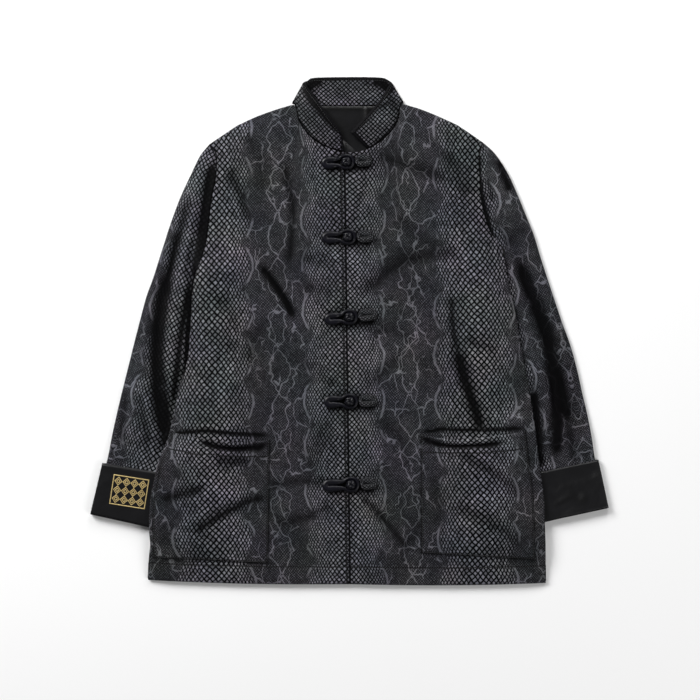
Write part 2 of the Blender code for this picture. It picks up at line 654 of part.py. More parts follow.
def sleeve_heights(side, k):
    """Upper and lower heights of a sleeve ring's points."""
    last = ring_count(side) - 1
    if k >= FAN:
        in_cuff = k > last - CUFF_RINGS
        profile = SLEEVE_END_PROFILE if in_cuff else SLEEVE_PROFILE
        low = SLEEVE_RISE if in_cuff else 0.0
        line = sleeve_line(side, k)
        tops = []
        for j, height in enumerate(profile):
            relief = 0.0
            if 0 < j < len(SLEEVE_SHARES) - 1 and not in_cuff:
                relief = fold_height(*line[j], SLEEVE_FOLDS)
                relief *= min(1.0, height - SLEEVE_PROFILE[-1]) if height < 7.0 else 1.0
            tops.append(max(low + height + relief, low + 2.0 * CLOTH + 0.4))
        return tops, [low] * len(profile)
    seam_tops, seam_lows = [], []
    for level in range(TOP, ARMPIT - 1, -1):
        low = level_value(level, "lift")
        seam_lows.append(low)
        seam_tops.append(low + 2.0 * CLOTH + SEAM + level_value(level, "mouth"))
    end_tops, end_lows = sleeve_heights(side, FAN)
    t = k / FAN
    line = sleeve_line(side, k)
    tops, lows = [], []
    for j, (a, b) in enumerate(zip(seam_tops, end_tops)):
        top = mix(a, b, smooth(min(1.0, 1.6 * t)))
        if 0 < j < len(SLEEVE_SHARES) - 1 and k > 0:
            top += fold_height(*line[j], SLEEVE_FOLDS) * (1.0 - t) + 0.8 * math.sin(math.pi * t)
        low = mix(seam_lows[j], end_lows[j], 1.0 - (1.0 - t) ** 3)
        lows.append(low)
        tops.append(max(top, low + 2.0 * CLOTH + 0.3))
    return tops, lows


def tube_contours(line, tops, lows, wall):
    """Outer and inner contours of a flat tube's ring."""
    length = sum(math.dist(p, q) for p, q in zip(line, line[1:]))
    reached = [0.0]
    for p, q in zip(line, line[1:]):
        reached.append(reached[-1] + math.dist(p, q))

    def at(distance):
        for j in range(len(line) - 1):
            if distance <= reached[j + 1] or j == len(line) - 2:
                t = (distance - reached[j]) / (reached[j + 1] - reached[j])
                top = mix(tops[j], tops[j + 1], min(max(t, 0.0), 1.0))
                low = mix(lows[j], lows[j + 1], min(max(t, 0.0), 1.0))
                return mix_points(line[j], line[j + 1], t), top, low

    outer_top, outer_low, inner_top, inner_low = [], [], [], []
    for j, place in enumerate(reached):
        outer_top.append((*line[j], tops[j]))
        outer_low.append((*line[j], lows[j]))
        point, top, low = at(wall + place * (length - 2.0 * wall) / length)
        middle = 0.5 * (top + low)
        inner_top.append((*point, max(top - wall, middle + 0.12)))
        inner_low.append((*point, min(low + wall, middle - 0.12)))

    def fold_end(distance, ends):
        point = at(distance)[0]
        return (*point, 0.5 * (ends[0][2] + ends[1][2]))

    outer = outer_top + [fold_end(length + FOLD_POINT, (outer_top[-1], outer_low[-1]))]
    outer += outer_low[::-1] + [fold_end(-FOLD_POINT, (outer_top[0], outer_low[0]))]
    inner = inner_top + [fold_end(length - 0.6 * wall, (inner_top[-1], inner_low[-1]))]
    inner += inner_low[::-1] + [fold_end(0.6 * wall, (inner_top[0], inner_low[0]))]
    return outer, inner


def make_sleeve(side):
    """A flat tube from the armhole seam to the end inside the cuff."""
    outers, inners = [], []
    for k in range(ring_count(side)):
        tops, lows = sleeve_heights(side, k)
        outer, inner = tube_contours(sleeve_line(side, k), tops, lows, CLOTH)
        outers.append(outer)
        inners.append(inner)
    return wall_from_rings("sleeve_" + side, outers, inners, JACQUARD)


def cuff_line(side, share):
    """Plan of the cuff's ring at a share of its depth."""
    row = mix_points(CUFFS[side]["top"], CUFFS[side]["bottom"], share)
    return ring_line(row[0:2], row[2:4], row[4:6])


def make_cuff(side):
    """The turned-back satin band round the sleeve's end, its lower fold drawn in over that end."""
    last = ring_count(side) - 1
    tops, lows = sleeve_heights(side, last)
    covers = [top + CUFF_AIR + CUFF_CLOTH for top in tops]
    floors = [0.0] * len(tops)
    outers, inners = [], []
    for share in CUFF_SHARES:
        outer, inner = tube_contours(cuff_line(side, share), covers, floors, CUFF_CLOTH)
        outers.append(outer)
        inners.append(inner)
    slot = tube_contours(sleeve_line(side, last), tops, lows, CLOTH)[1]
    row, end = CUFFS[side]["bottom"], RINGS[side][-1]
    down = 0.5 * (row[1] + row[3] - end[1] - end[3])
    near = [(x, y - CUFF_AIR, z) for x, y, z in slot]
    far = [(x, y + down - CUFF_LIP, z) for x, y, z in slot]
    wide = [(x, y - CUFF_AIR, z) for x, y, z in sleeve_end_clearance(side)]
    return wall_from_rings("cuff_" + side, outers, inners[:3] + [wide, near, far], BLACK_SATIN)


def sleeve_end_clearance(side):
    """Contour just outside the sleeve's last ring."""
    last = ring_count(side) - 1
    tops, lows = sleeve_heights(side, last)
    covers = [top + CUFF_AIR for top in tops]
    floors = [low - CUFF_AIR for low in lows]
    line = sleeve_line(side, last)
    out = sign_of(side) * 2.0 * CUFF_AIR
    line[0] = (line[0][0] + out, line[0][1])
    line[-1] = (line[-1][0] - out, line[-1][1])
    return tube_contours(line, covers, floors, CUFF_CLOTH)[0]


# Collar, lining and underlap

def make_collar():
    """The stand collar: a bent band from one front end round the back to the other."""
    middle = []
    for row in COLLAR:
        lower, upper = Vector(row[0:3]), Vector(row[3:6])
        section = []
        for i in range(COLLAR_ROWS + 1):
            t = i / COLLAR_ROWS
            point = lower.lerp(upper, t)
            raised = smooth((lower.z - CROWN_FROM) / CROWN_BLEND)
            point.z += COLLAR_CROWN * raised * math.sin(math.pi * t)
            section.append(point)
        middle.append(section)
    outside, inside = [], []
    for k, section in enumerate(middle):
        before, after = middle[max(k - 1, 0)], middle[min(k + 1, len(middle) - 1)]
        out_row, in_row = [], []
        for i, point in enumerate(section):
            down, up = section[max(i - 1, 0)], section[min(i + 1, COLLAR_ROWS)]
            normal = (up - down).cross(after[i] - before[i]).normalized()
            out_row.append(tuple(point + normal * (0.5 * COLLAR_CLOTH)))
            in_row.append(tuple(point - normal * (0.5 * COLLAR_CLOTH)))
        outside.append(out_row)
        inside.append(in_row)
    return wall_from_grids("collar", outside, inside, JACQUARD)


def lining_sides(y):
    """The lining's right and left limits at a height on the body, inside the neckline."""
    t = (y - LINING_Y[0]) / (LINING_Y[1] - LINING_Y[0])
    return mix_points(LINING_LOW_X, LINING_TOP_X, smooth(1.6 * t))


def make_lining():
    """The back's lining where it shows in the neck, with its ease pleats."""
    upper, under = [], []
    for i in range(LINING_ROWS + 1):
        y = mix(*LINING_Y, i / LINING_ROWS)
        right, left = lining_sides(y)
        top_row, under_row = [], []
        for j in range(LINING_COLUMNS + 1):
            x = mix(right, left, j / LINING_COLUMNS)
            fade = smooth((y - LINING_Y[0]) / LINING_FADE)
            pleat = sum(h * fade * math.exp(-(((x - px) / w) ** 2)) for px, w, h in LINING_PLEATS)
            z = CLOTH + SEAM + pleat
            under_row.append((x, y - LINING_INSET, z))
            top_row.append((x, y - LINING_INSET, z + SATIN))
        upper.append(top_row)
        under.append(under_row)
    return wall_from_grids("neck_lining", upper, under, BLACK_SATIN)


def make_underlap():
    """The strip under the centre front, its slanted top end showing below the collar."""
    upper, under = [], []
    low_y = LENGTH_BOTTOM + UNDERLAP_HEM
    for i in range(UNDERLAP_ROWS + 1):
        t = i / UNDERLAP_ROWS
        top_row, under_row = [], []
        for across in UNDERLAP_ACROSS:
            end_y = UNDERLAP_TIP_Y if across < 0.0 else UNDERLAP_SIDE_Y
            y = mix(low_y, end_y, t)
            centre_x = mix(CENTRE_BOTTOM_X, CENTRE_TOP_X, (y - LENGTH_BOTTOM) / (LENGTH_TOP - LENGTH_BOTTOM))
            rise = (SATIN + SEAM) * smooth((y - LINING_Y[0] + UNDERLAP_CLIMB) / UNDERLAP_CLIMB_LENGTH)
            z = CLOTH + SEAM + rise
            point = (centre_x + across * UNDERLAP_HALF + UNDERLAP_ASIDE, y)
            under_row.append((*point, z))
            top_row.append((*point, z + UNDERLAP_CLOTH))
        upper.append(top_row)
        under.append(under_row)
    return wall_from_grids("underlap", upper, under, BLACK_SATIN)


# Pockets

def make_pocket(side, upper_front):
    """A patch pocket from the front's own points, moved out, with its mouth a little open."""
    first, last = INNER_COLUMNS, INNER_COLUMNS + POCKET_COLUMNS
    upper, under = [], []
    for k in range(POCKET_BOTTOM_LEVEL, POCKET_TOP_LEVEL + 1):
        open_share = smooth((k - POCKET_HEM_LEVEL + 1.6) / 2.6)
        body = math.sin(math.pi * (k - POCKET_BOTTOM_LEVEL) / (POCKET_TOP_LEVEL - POCKET_BOTTOM_LEVEL))
        top_row, under_row = [], []
        for i, column in enumerate(range(first, last + 1)):
            x, y, z = upper_front[k][column]
            across = math.sin(math.pi * min(1.0, i / POCKET_COLUMNS) ** 0.8)
            z += SEAM + POCKET_AIR * across * body + POCKET_GAPE * across * open_share
            if k == POCKET_TOP_LEVEL:
                y -= MOUTH_SAG * across
            under_row.append((x, y, z))
            top_row.append((x, y, z + POCKET_CLOTH))
        upper.append(top_row)
        under.append(under_row)
    return wall_from_grids("pocket_" + side, upper, under, JACQUARD)


# Frogs

def surface_finder(objects):
    """A function that gives the height of the upper surface of some objects at a place, in mm."""
    trees = []
    for obj in objects:
        verts = [v.co.copy() for v in obj.data.vertices]
        faces = [tuple(p.vertices) for p in obj.data.polygons]
        trees.append(BVHTree.FromPolygons(verts, faces))

    def height(x, y):
        best = 0.0
        for tree in trees:
            hit = tree.ray_cast(placed(x, y, RAY_FROM), Vector((0.0, 0.0, -1.0)))
            if hit[0] is not None:
                best = max(best, hit[0].z / MM)
        return best

    return height


def height_under(height, x, y, reach):
    """The highest surface within reach of a place."""
    spots = [(0, 0), (1, 0), (-1, 0), (0, 1), (0, -1), (0.7, 0.7), (-0.7, 0.7), (0.7, -0.7), (-0.7, -0.7)]
    return max(height(x + reach * a, y + reach * b) for a, b in spots)


def make_cord_ring(name, half, count, place, height):
    """A doubled cord as one closed ring: half its middle line with widths, mirrored below."""
    line = half + [(x, -y, w) for x, y, w in half[-2:0:-1]]
    centre_x, centre_y, tilt = place
    points = []
    for i in range(count):
        x, y, width = spline_along(line, i / count, closed=True)
        ahead = spline_along(line, (i + 0.25) / count, closed=True)
        behind = spline_along(line, (i - 0.25) / count % 1.0, closed=True)
        tx, ty = ahead[0] - behind[0], ahead[1] - behind[1]
        length = math.hypot(tx, ty)
        nx, ny = ty / length, -tx / length
        points.append((x, y, width, nx, ny))
    rings = []
    for x, y, width, nx, ny in points:
        thick = CORD_HIGH * (0.86 if width < 0.5 * (CORD_WIDE + CORD_NARROW) else 1.0)
        wx = centre_x + x * math.cos(tilt) - y * math.sin(tilt)
        wy = centre_y + x * math.sin(tilt) + y * math.cos(tilt)
        wnx = nx * math.cos(tilt) - ny * math.sin(tilt)
        wny = nx * math.sin(tilt) + ny * math.cos(tilt)
        base = height_under(height, wx, wy, 0.5 * width + 1.0) + SEAM
        ring = []
        for s in range(CORD_SIDES):
            turn = 2.0 * math.pi * (s + 0.5) / CORD_SIDES
            out = 0.5 * width * math.cos(turn)
            ring.append((wx + wnx * out, wy + wny * out, base + 0.5 * thick * (1.0 + math.sin(turn))))
        rings.append(ring)
    return wall_from_rings(name, rings, [], CORD_SATIN)


def make_knot(name, place, height):
    """The ball knot, a flattened ball with a few soft lobes."""
    centre_x, centre_y, tilt = place
    x = centre_x + KNOT_CENTRE * math.cos(tilt)
    y = centre_y + KNOT_CENTRE * math.sin(tilt)
    base = height_under(height, x, y, KNOT_RADII[0] - 0.5) + SEAM
    bm = bmesh.new()
    bmesh.ops.create_uvsphere(bm, u_segments=12, v_segments=8, radius=1.0)
    points = []
    for v in bm.verts:
        lobe = 1.0 + 0.05 * math.cos(3.0 * math.atan2(v.co.y, v.co.x)) * (1.0 - abs(v.co.z))
        px, py = v.co.x * KNOT_RADII[0] * lobe, v.co.y * KNOT_RADII[1] * lobe
        points.append((
            x + px * math.cos(tilt) - py * math.sin(tilt),
            y + px * math.sin(tilt) + py * math.cos(tilt),
            base + KNOT_RADII[2] * (1.0 + v.co.z),
        ))
    faces = [tuple(v.index for v in f.verts) for f in bm.faces]
    bm.free()
    return make_object(name, points, faces, CORD_SATIN)


def make_frog(number, row, height):
    """One fastening: the right wing ends in the loop, the left wing carries the ball knot."""
    y, x, right_wing, left_wing, tilt = row
    place = (x, y, math.radians(tilt))
    outer = -(right_wing - 0.5 * CORD_WIDE)
    loop = [
        (outer, 0.0, CORD_WIDE), (outer + 1.4, 3.0, CORD_WIDE), (outer + 5.0, CORD_OFFSET, CORD_WIDE),
        (0.5 * (outer - 12.0), CORD_OFFSET, CORD_WIDE), (-14.0, CORD_OFFSET, 6.6),
        (-9.0, 5.4, 5.0), (-4.5, 8.0, CORD_NARROW), (1.0, 9.4, CORD_NARROW),
        (7.2, 8.3, CORD_NARROW), (11.0, 4.8, CORD_NARROW), (LOOP_END, 0.0, CORD_NARROW),
    ]
    make_cord_ring("frog_%d_loop" % number, loop, LOOP_STEPS, place, height)
    end = left_wing - 0.5 * CORD_WIDE
    stem = [
        (STEM_START, 0.0, 6.6), (STEM_START + 1.3, 3.0, 6.6), (STEM_START + 4.6, CORD_OFFSET, CORD_WIDE),
        (end - 5.0, CORD_OFFSET, CORD_WIDE), (end - 1.4, 3.0, CORD_WIDE), (end, 0.0, CORD_WIDE),
    ]
    make_cord_ring("frog_%d_wing" % number, stem, WING_STEPS, place, height)
    make_knot("frog_%d_knot" % number, place, height)


def main():
    for obj in list(bpy.data.objects):
        bpy.data.objects.remove(obj, do_unlink=True)
    wall_from_grids("back", *back_grid(), JACQUARD)
    fronts = []
    for side in ("right", "left"):
        upper, under = front_grid(side)
        fronts.append(wall_from_grids("front_" + side, upper, under, JACQUARD))
        make_pocket(side, upper)
        make_sleeve(side)
        make_cuff(side)
    make_collar()
    make_lining()
    make_underlap()
    height = surface_finder(fronts)
    for number, row in enumerate(FROGS, 1):
        make_frog(number, row, height)


main()
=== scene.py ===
"""Mandarin collar jacket laid flat: cloth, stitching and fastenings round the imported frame.

The tables hold millimetres on the laid jacket, +Y from hem to collar; meshes are in metres. Right and
left are the wearer's, so the right front is on the -X side.
"""

import math

import bmesh
import bpy
import numpy as np
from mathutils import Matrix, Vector, noise
from mathutils.bvhtree import BVHTree


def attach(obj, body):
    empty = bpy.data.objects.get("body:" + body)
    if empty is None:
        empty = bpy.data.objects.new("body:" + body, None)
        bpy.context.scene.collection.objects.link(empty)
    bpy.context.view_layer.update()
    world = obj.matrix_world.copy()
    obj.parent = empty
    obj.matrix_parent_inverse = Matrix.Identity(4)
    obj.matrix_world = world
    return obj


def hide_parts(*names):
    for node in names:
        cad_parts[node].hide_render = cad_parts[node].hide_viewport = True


bl_info = {
    "name": "Laid jacket",
    "version": (1, 0, 0),
    "blender": (4, 5, 0),
    "location": "View3D > Sidebar > Jacket",
    "description": "Builds the cloth, stitching and fastenings of a laid mandarin collar jacket",
    "category": "Object",
}

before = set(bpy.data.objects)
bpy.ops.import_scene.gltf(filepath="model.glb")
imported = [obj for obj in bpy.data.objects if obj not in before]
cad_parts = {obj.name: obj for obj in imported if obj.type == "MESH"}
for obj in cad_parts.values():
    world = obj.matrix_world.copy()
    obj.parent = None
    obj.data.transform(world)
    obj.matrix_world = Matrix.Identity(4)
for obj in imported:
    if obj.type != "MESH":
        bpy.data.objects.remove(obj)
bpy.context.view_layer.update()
BODY = "root"
MM = 0.001
LAYOUT_SHIFT = (-0.75, 0.5)
SIDES = ("right", "left")

# Driving sizes
CLOTH = 2.2            # shell, interlining and satin lining together
POCKET_CLOTH = 1.9
CUFF_CLOTH = 1.5
SATIN = 1.0
UNDERLAP_CLOTH = 1.2
COLLAR_CLOTH = 2.2
SEAM = 0.35            # gap between two pieces at a seam
BODY_AIR = 4.4         # between the front and the back where they lie on each other
NECK_AIR = 3.5         # more at the neckline, over the lining and the underlap
EDGE_ROUND = 38.0      # width over which a panel rises from its sewn edge
RAMP = 46.0            # width over which the back rises onto the sleeve under it
TUCK_MARGIN = 5.0
HEM_EXTRA, HEM_STEP = 0.8, 4.0         # the turned-up hem's extra thickness, and the width of its step
HEM_ZONE, HEM_SHARE = 70.0, 0.75       # towards the hem the front lies closer to the back
NECK_FLAT, NECK_BLEND = 26.0, 50.0     # width of the fold-free strip round the neckline, and its blend
CENTRE_FLAT, CENTRE_BLEND = 20.0, 16.0
CENTRE_LEAST, PANEL_LEAST = 2.1, 0.5   # the least air over the underlap, and over the rest of the back
LENGTH_TOP, LENGTH_BOTTOM = 266.5, -379.0    # centre front, neck to hem
CENTRE_TOP_X, CENTRE_BOTTOM_X = -6.6, 1.5    # the centre front leans a little
CENTRE_GAP = 0.5
HEM_BOW = 2.5

# One row for each level of the body, from the hem up. The side edges are the side seam, and the
# armhole seam from the armpit up. tuck is how far the sleeve lies under the body there, lift is
# how high that raises the back, and mouth is how far the armhole stands open.
LEVEL_COLUMNS = ("right_x", "right_y", "left_x", "left_y", "tuck", "lift", "mouth")
LEVELS = [
    (-301, -373, 294.6, -377.5, 0, 0, 0),
    (-299.4, -350, 293.8, -351, 20, 4, 0),
    (-298.6, -339, 293.5, -343, 30, 6.5, 0),
    (-296.5, -319, 293, -321, 50, 10, 0),
    (-298.2, -295, 292.2, -295, 62, 10.4, 0),
    (-297.5, -270, 291.6, -270, 66, 10.4, 0),
    (-295, -245, 290, -245, 68, 10.4, 0),
    (-289.7, -220, 286.8, -220, 70, 10.4, 0),
    (-285.4, -198, 284, -198, 70, 10, 0),
    (-276, -176, 281.3, -176, 68, 8, 0),
    (-268, -153, 278.4, -151, 66, 6.4, 0),
    (-262.3, -130, 275.4, -130, 66, 6.2, 0),
    (-257.5, -105, 271.2, -103, 66, 6.2, 0),
    (-252, -80, 267.2, -75, 64, 6.2, 0),
    (-243.5, -55, 260.5, -45, 60, 6.2, 0),
    (-238.7, -30, 255, -14, 56, 6.2, 0),
    (-236.7, 0, 249.5, 20, 44, 6.2, 0),
    (-235, 30, 241.5, 56, 26, 6.2, 0),
    (-233.4, 60, 234.5, 92, 10, 6.2, 0),
    (-226.5, 92, 226.5, 128, 4, 6, 0),
    (-219, 112, 213, 144, 0, 3, 1.6),
    (-213.5, 132, 206.4, 160, 0, 1, 2.6),
    (-210.6, 152, 201.8, 175, 0, 0, 3),
    (-208.5, 172, 198.3, 190, 0, 0, 3),
    (-206, 192, 196.4, 205, 0, 0, 3),
    (-202.5, 212, 195.6, 220, 0, 0, 2.8),
    (-198.6, 232, 194.8, 236, 0, 0, 2.4),
    (-197.5, 250, 194, 252, 0, 0, 1.8),
    (-198.5, 266, 195.3, 268, 0, 0, 1),
    (-208, 279.5, 199.5, 282, 0, 0, 0),
]
ARMPIT = 19            # the level of the armpit
TOP = len(LEVELS) - 1  # the level of the shoulder tip
TOP_BLEND = 15         # from this level up the rows bend towards the neck and shoulder

# Neckline of each front from the centre front to the shoulder, then the shoulder line to its tip.
NECKLINE = {
    "right": [(-6.6, 266.5), (-28.5, 271), (-51.5, 283.5), (-67.5, 299.5), (-77.5, 317), (-81.5, 337)],
    "left": [(-6.6, 266.5), (16, 266.5), (39, 275.5), (59.5, 292.5), (74.5, 311), (78.5, 337.5)],
}
SHOULDER = {
    "right": [(-81.5, 337), (-100, 333.5), (-121.5, 326.5), (-145.5, 317.5), (-170, 305), (-208, 279.5)],
    "left": [(78.5, 337.5), (98, 334.5), (120, 326.5), (141, 317.5), (166, 305.5), (199.5, 282)],
}
BACK_NECK_DIP = 1.5
NECK_SHARE = 0.42      # share of the top row that is neckline

# Patch pockets. inner_top and inner_bottom are the distances of the inner edge from the centre
# front, outer is the outer edge as a share of the front's outer part, and bend shifts the rows.
POCKET_BOTTOM_LEVEL, POCKET_HEM_LEVEL, POCKET_TOP_LEVEL = 2, 9, 10
POCKETS = {
    "right": {"inner_top": 117.5, "inner_bottom": 122.5, "outer": 0.972, "bend_top": -7, "bend_bottom": -5},
    "left": {"inner_top": 109, "inner_bottom": 107, "outer": 0.914, "bend_top": -1, "bend_bottom": 12},
}
POCKET_AIR = 0.9
POCKET_GAPE = 3.4      # how far the mouth stands off the front
MOUTH_SAG = 8.0        # how far the mouth's edge sags towards the hem
POCKET_LIP, POCKET_LIP_WIDE = 0.7, 5.0         # the mouth's folded edge: extra thickness, and its width
POCKET_EDGE, POCKET_LOW_EDGE = 0.08, 0.7       # where folds fade: share of the width, and levels
INNER_COLUMNS = 7      # columns from the centre front to the pocket's inner edge
POCKET_COLUMNS = 7     # columns across the pocket
EDGE_COLUMN = 0.6      # one more column between the pocket's outer edge and the side
RAMP_STEPS = (1.0, 0.62, 0.3, 0.0)     # columns of the back across the rise onto the sleeve
TUCK_STEP = 0.45       # and one more column at this share of the tuck
LEAST_SHARE = 0.02     # the least of a row between two of these columns

# Sleeves: one row for each ring from the armhole down, with X and Y of three places: the fold along
# the top of the arm, where the sleeve goes under the body, and the fold that lies under the body.
FAN = 6                # rings 0 to FAN turn from the armhole seam to square across the sleeve
FAN_EASE = 1.45        # above 1 they turn sooner
FAN_OUTER = {
    "right": [
        (-208, 279.5), (-223, 261), (-237, 232), (-251, 202), (-265, 165), (-279, 122), (-293, 78),
    ],
    "left": [(199.5, 282), (218, 265), (236, 238), (250, 208), (263, 176), (276, 144), (286, 111)],
}
FAN_INNER = {
    "right": [
        (-226.85, 92), (-229.2, 88.3), (-230.2, 83.4), (-230.2, 77.3), (-228.8, 70.5), (-226.8, 64.2),
        (-224, 58),
    ],
    "left": [
        (226.8, 128.2), (229.9, 126.4), (232.4, 122.6), (233.4, 116.4), (232.6, 108.4), (229.9, 99.6),
        (225, 90),
    ],
}
RINGS = {
    "right": [
        (-293, 78, -236, 62, -224, 58),
        (-302.5, 52, -239.5, 34, -222, 28),
        (-312, 17, -240.5, -3, -205, -12),
        (-321, -18, -243, -40, -193, -52),
        (-330, -54, -254.5, -76, -192, -92),
        (-339, -90, -262.5, -112, -199, -130),
        (-347.5, -126, -270, -148, -209, -166),
        (-355, -160, -282, -180, -220, -198),
        (-360.5, -190, -291.5, -211, -229, -226),
        (-370, -228, -299, -250, -240, -266),
        (-379.5, -268, -302, -288, -248, -300),
    ],
    "left": [
        (286, 111, 236.5, 97, 225, 90),
        (295, 83, 243, 68, 226, 62),
        (307, 47, 251, 31, 214, 20),
        (319, 11, 257.5, -6, 206, -20),
        (331, -22, 264, -41, 204, -58),
        (341, -58, 271.5, -78, 206, -96),
        (349, -94, 277, -114, 210, -132),
        (357, -128, 282, -149, 215, -166),
        (363, -160, 286, -181, 221, -198),
        (369, -200, 291, -224, 228, -238),
        (381, -258, 295.5, -279, 236, -291),
    ],
}
SLEEVE_SHARES = (0, 0.10, 0.26, 0.44, 0.62, 0.79, 0.92, 1)    # ring points from outer to edge
EDGE_POINT = len(SLEEVE_SHARES) - 1
TUCKED = 3                                                    # then this many more to inner
SLEEVE_PROFILE = (5.4, 7.3, 8.0, 8.0, 8.0, 7.8, 6.8, 5.1, 5.1, 5.1, 4.9)
SLEEVE_END_PROFILE = (5.2, 5.8, 6.0, 6.0, 6.0, 6.0, 5.6, 5.1, 5.1, 5.1, 4.9)
CUFF_RINGS = 3         # the last rings lie inside the cuff
SLEEVE_RISE = 1.9      # the sleeve's end lies on the cuff's back
FOLD_POINT = 1.2       # a flat tube's edge stands out this far past its last ring point

CUFFS = {
    "right": {
        "top": (-369, -199, -292, -211.5, -226, -229),
        "bottom": (-387, -275.5, -302.5, -294, -242, -306),
    },
    "left": {
        "top": (373, -194, 291, -211, 221, -222),
        "bottom": (388.5, -266, 296, -286, 230, -298),
    },
}
CUFF_AIR = 0.4
CUFF_LIP = 0.7

# Collar: one row for each section from the right front end round the back to the left front end,
# with X, Y and Z of the neck seam and of the free edge, on the middle of the wall.
COLLAR = [
    (-7.5, 268.6, 6.9, -11, 294, 14),
    (-18, 270.6, 6.9, -16, 301, 14.6),
    (-28.5, 273.2, 6.9, -22.5, 309, 14.8),
    (-40, 278.6, 6.9, -29.5, 318.5, 14.4),
    (-50.3, 285.6, 6.9, -37, 329, 13.4),
    (-60, 294, 6.8, -45, 340, 12),
    (-66, 301, 6.6, -51.5, 349, 10.4),
    (-71.8, 310.8, 6, -57.3, 357, 8.6),
    (-76.5, 320.5, 5.2, -62, 363.5, 7),
    (-78.2, 332.2, 4.5, -64.4, 368.5, 5.6),
    (-81.6, 340.2, 3.9, -66.2, 370.4, 4.2),
    (-84.6, 341.6, 2.5, -67.4, 372.4, 2.6),
    (-81.4, 340.6, 1.15, -62.6, 374.4, 1.15),
    (-69, 337.8, 1.1, -57, 378, 1.1),
    (-48, 336.9, 1.1, -44, 379.2, 1.1),
    (-24, 336.4, 1.1, -22, 379.6, 1.1),
    (0, 336.3, 1.1, 0, 379.8, 1.1),
    (24, 336.7, 1.1, 22, 379.8, 1.1),
    (46, 337.3, 1.1, 42, 379.4, 1.1),
    (66.5, 338.2, 1.1, 53.5, 378, 1.1),
    (78.4, 340.2, 1.15, 60.6, 374.6, 1.15),
    (81.4, 341.8, 2.5, 63.4, 371.6, 2.6),
    (78.6, 340.4, 3.9, 62.4, 369.4, 4.2),
    (75.6, 332.4, 4.5, 58.8, 364, 5.6),
    (73.8, 322.4, 5.2, 54.6, 356.5, 7),
    (71.2, 312.8, 6, 48.8, 347.5, 8.6),
    (66, 303.5, 6.6, 42, 338, 10.4),
    (58, 294, 6.9, 33.5, 328, 12.2),
    (47.6, 285.6, 6.9, 24, 317.5, 13.6),
    (38, 278.2, 6.9, 14, 307, 14.2),
    (27, 273.4, 6.9, 3, 296, 14),
]
COLLAR_ROWS = 4
COLLAR_CROWN = 1.0     # the band bows up between its edges at the front
CROWN_FROM, CROWN_BLEND = 4.5, 2.0     # where the neck seam is this high, and over this much more

# Plain satin lining that shows in the neck, and the strip under the centre front
LINING_TOP_X, LINING_LOW_X = (-70.0, 66.0), (-46.0, 40.0)
LINING_Y = (246.0, 337.0)
LINING_FADE = 60.0     # the pleats fade in over this much of the lining's height
LINING_INSET = 0.6
LINING_COLUMNS, LINING_ROWS = 112, 20
LINING_PLEATS = [(28, 5, 1.3), (38, 4.5, 1)]          # x, width, height at the neck seam
UNDERLAP_HALF = 17.0
UNDERLAP_TIP_Y, UNDERLAP_SIDE_Y = 286.0, 268.0
UNDERLAP_ROWS = 24
UNDERLAP_ACROSS = (-1.0, -0.3, 1.0)
UNDERLAP_HEM, UNDERLAP_ASIDE = 4.0, 2.0
UNDERLAP_CLIMB, UNDERLAP_CLIMB_LENGTH = 34.0, 24.0     # where it climbs onto the lining

# Frogs: Y and X of the knot, how far each wing reaches from it, and the tilt in degrees
FROGS = [
    (252.5, -6, 35.5, 41, 3.5),
    (140, -4, 37, 42, 1.3),
    (20, -1.5, 36, 45, 6),
    (-106, -1, 37, 44, 1.3),
    (-230.5, 1, 41, 42, 2.7),
]
CORD_WIDE, CORD_NARROW, CORD_HIGH = 9.0, 5.0, 5.4
CORD_OFFSET = 4.6      # each cord of a wing runs this far from the wing's middle line
KNOT_CENTRE = 2.0
KNOT_RADII = (7.2, 6.9, 5.0)
LOOP_END = 12.2
STEM_START = 18.4

# Finer forms
LEVEL_STEPS, COLUMN_STEPS = 9, 8       # new rows and columns between two of the tables'
BACK_STEPS = 4
RING_STEPS, RING_POINT_STEPS = 12, 5
COLLAR_STEPS, COLLAR_ROW_STEPS = 8, 4
COLLAR_PIPING = ((0.35, 1.5, 1.3), (0.25, 1.2, 1.2))    # height, place, width: free edge and neck seam
COLLAR_STRETCH = 0.15                  # how much of the stand's height its pattern takes up
RIM_ROUND, RIM_DROP = 0.42, 0.14       # how far a rim stands out, and how far its corners are pulled in
NO_SEAM = 999.0                        # seam distance where there is no seam
CREASE_FADE, CREASE_TIP = 0.17, 0.08   # share of a crease over which an end fades, and where it starts
CREASE_LIPS, LIP_AT, LIP_WIDE = 0.42, 2.1, 1.1  # a trough's lips: height; place and width in its widths
# Painted shade in creases: how dark it is painted, and how wide the painted line is along it
CREASE_DARK, DARK_TIP, DARK_GROWTH = 1.5, 0.4, 0.8      # how dark, and the dark line's width along it
RUMPLE = ((46.0, 0.55), (19.0, 0.22))  # size and height of the cloth's unevenness
SLEEVE_WALL = 1.9
TUBE_LEAST, TUBE_HOLLOW = 0.3, 0.12    # a sleeve's least hollow, and half of any flat tube's
HEAD_PUFF = 0.8                        # how much the sleeve's head swells below the armhole
FOLD_ROUND = ((0.72, 0.18), (1.0, 0.5), (0.72, 0.82))   # a fold's points: how far out, and how far down
INNER_FOLD = 0.4                       # how far the hollow's fold stands out, in walls
BAND_HALF_SPACING = 98.0               # moves the back's bands of scales half a step aside
CUFF_ROWS, CUFF_STEPS, CUFF_DEPTH = 5, 5, 76.0
CENTRE_LINE, HEM_LINE = 4.5, 25.0      # stitch lines, from the edge
POCKET_LINE, POCKET_HEM_LINE, COLLAR_LINE = 1.8, 24.0, 3.6
SLEEVE_BAND = {"right": 75.0, "left": 115.0}    # from the outer fold to the middle of a band of scales
POCKET_PATTERN_SHIFT = {"right": (1.5, 2.0), "left": (-1.0, 1.0)}
PROBES = ((0, 0), (1, 0), (-1, 0), (0, 1), (0, -1), (0.7, 0.7), (-0.7, 0.7), (0.7, -0.7), (-0.7, -0.7))
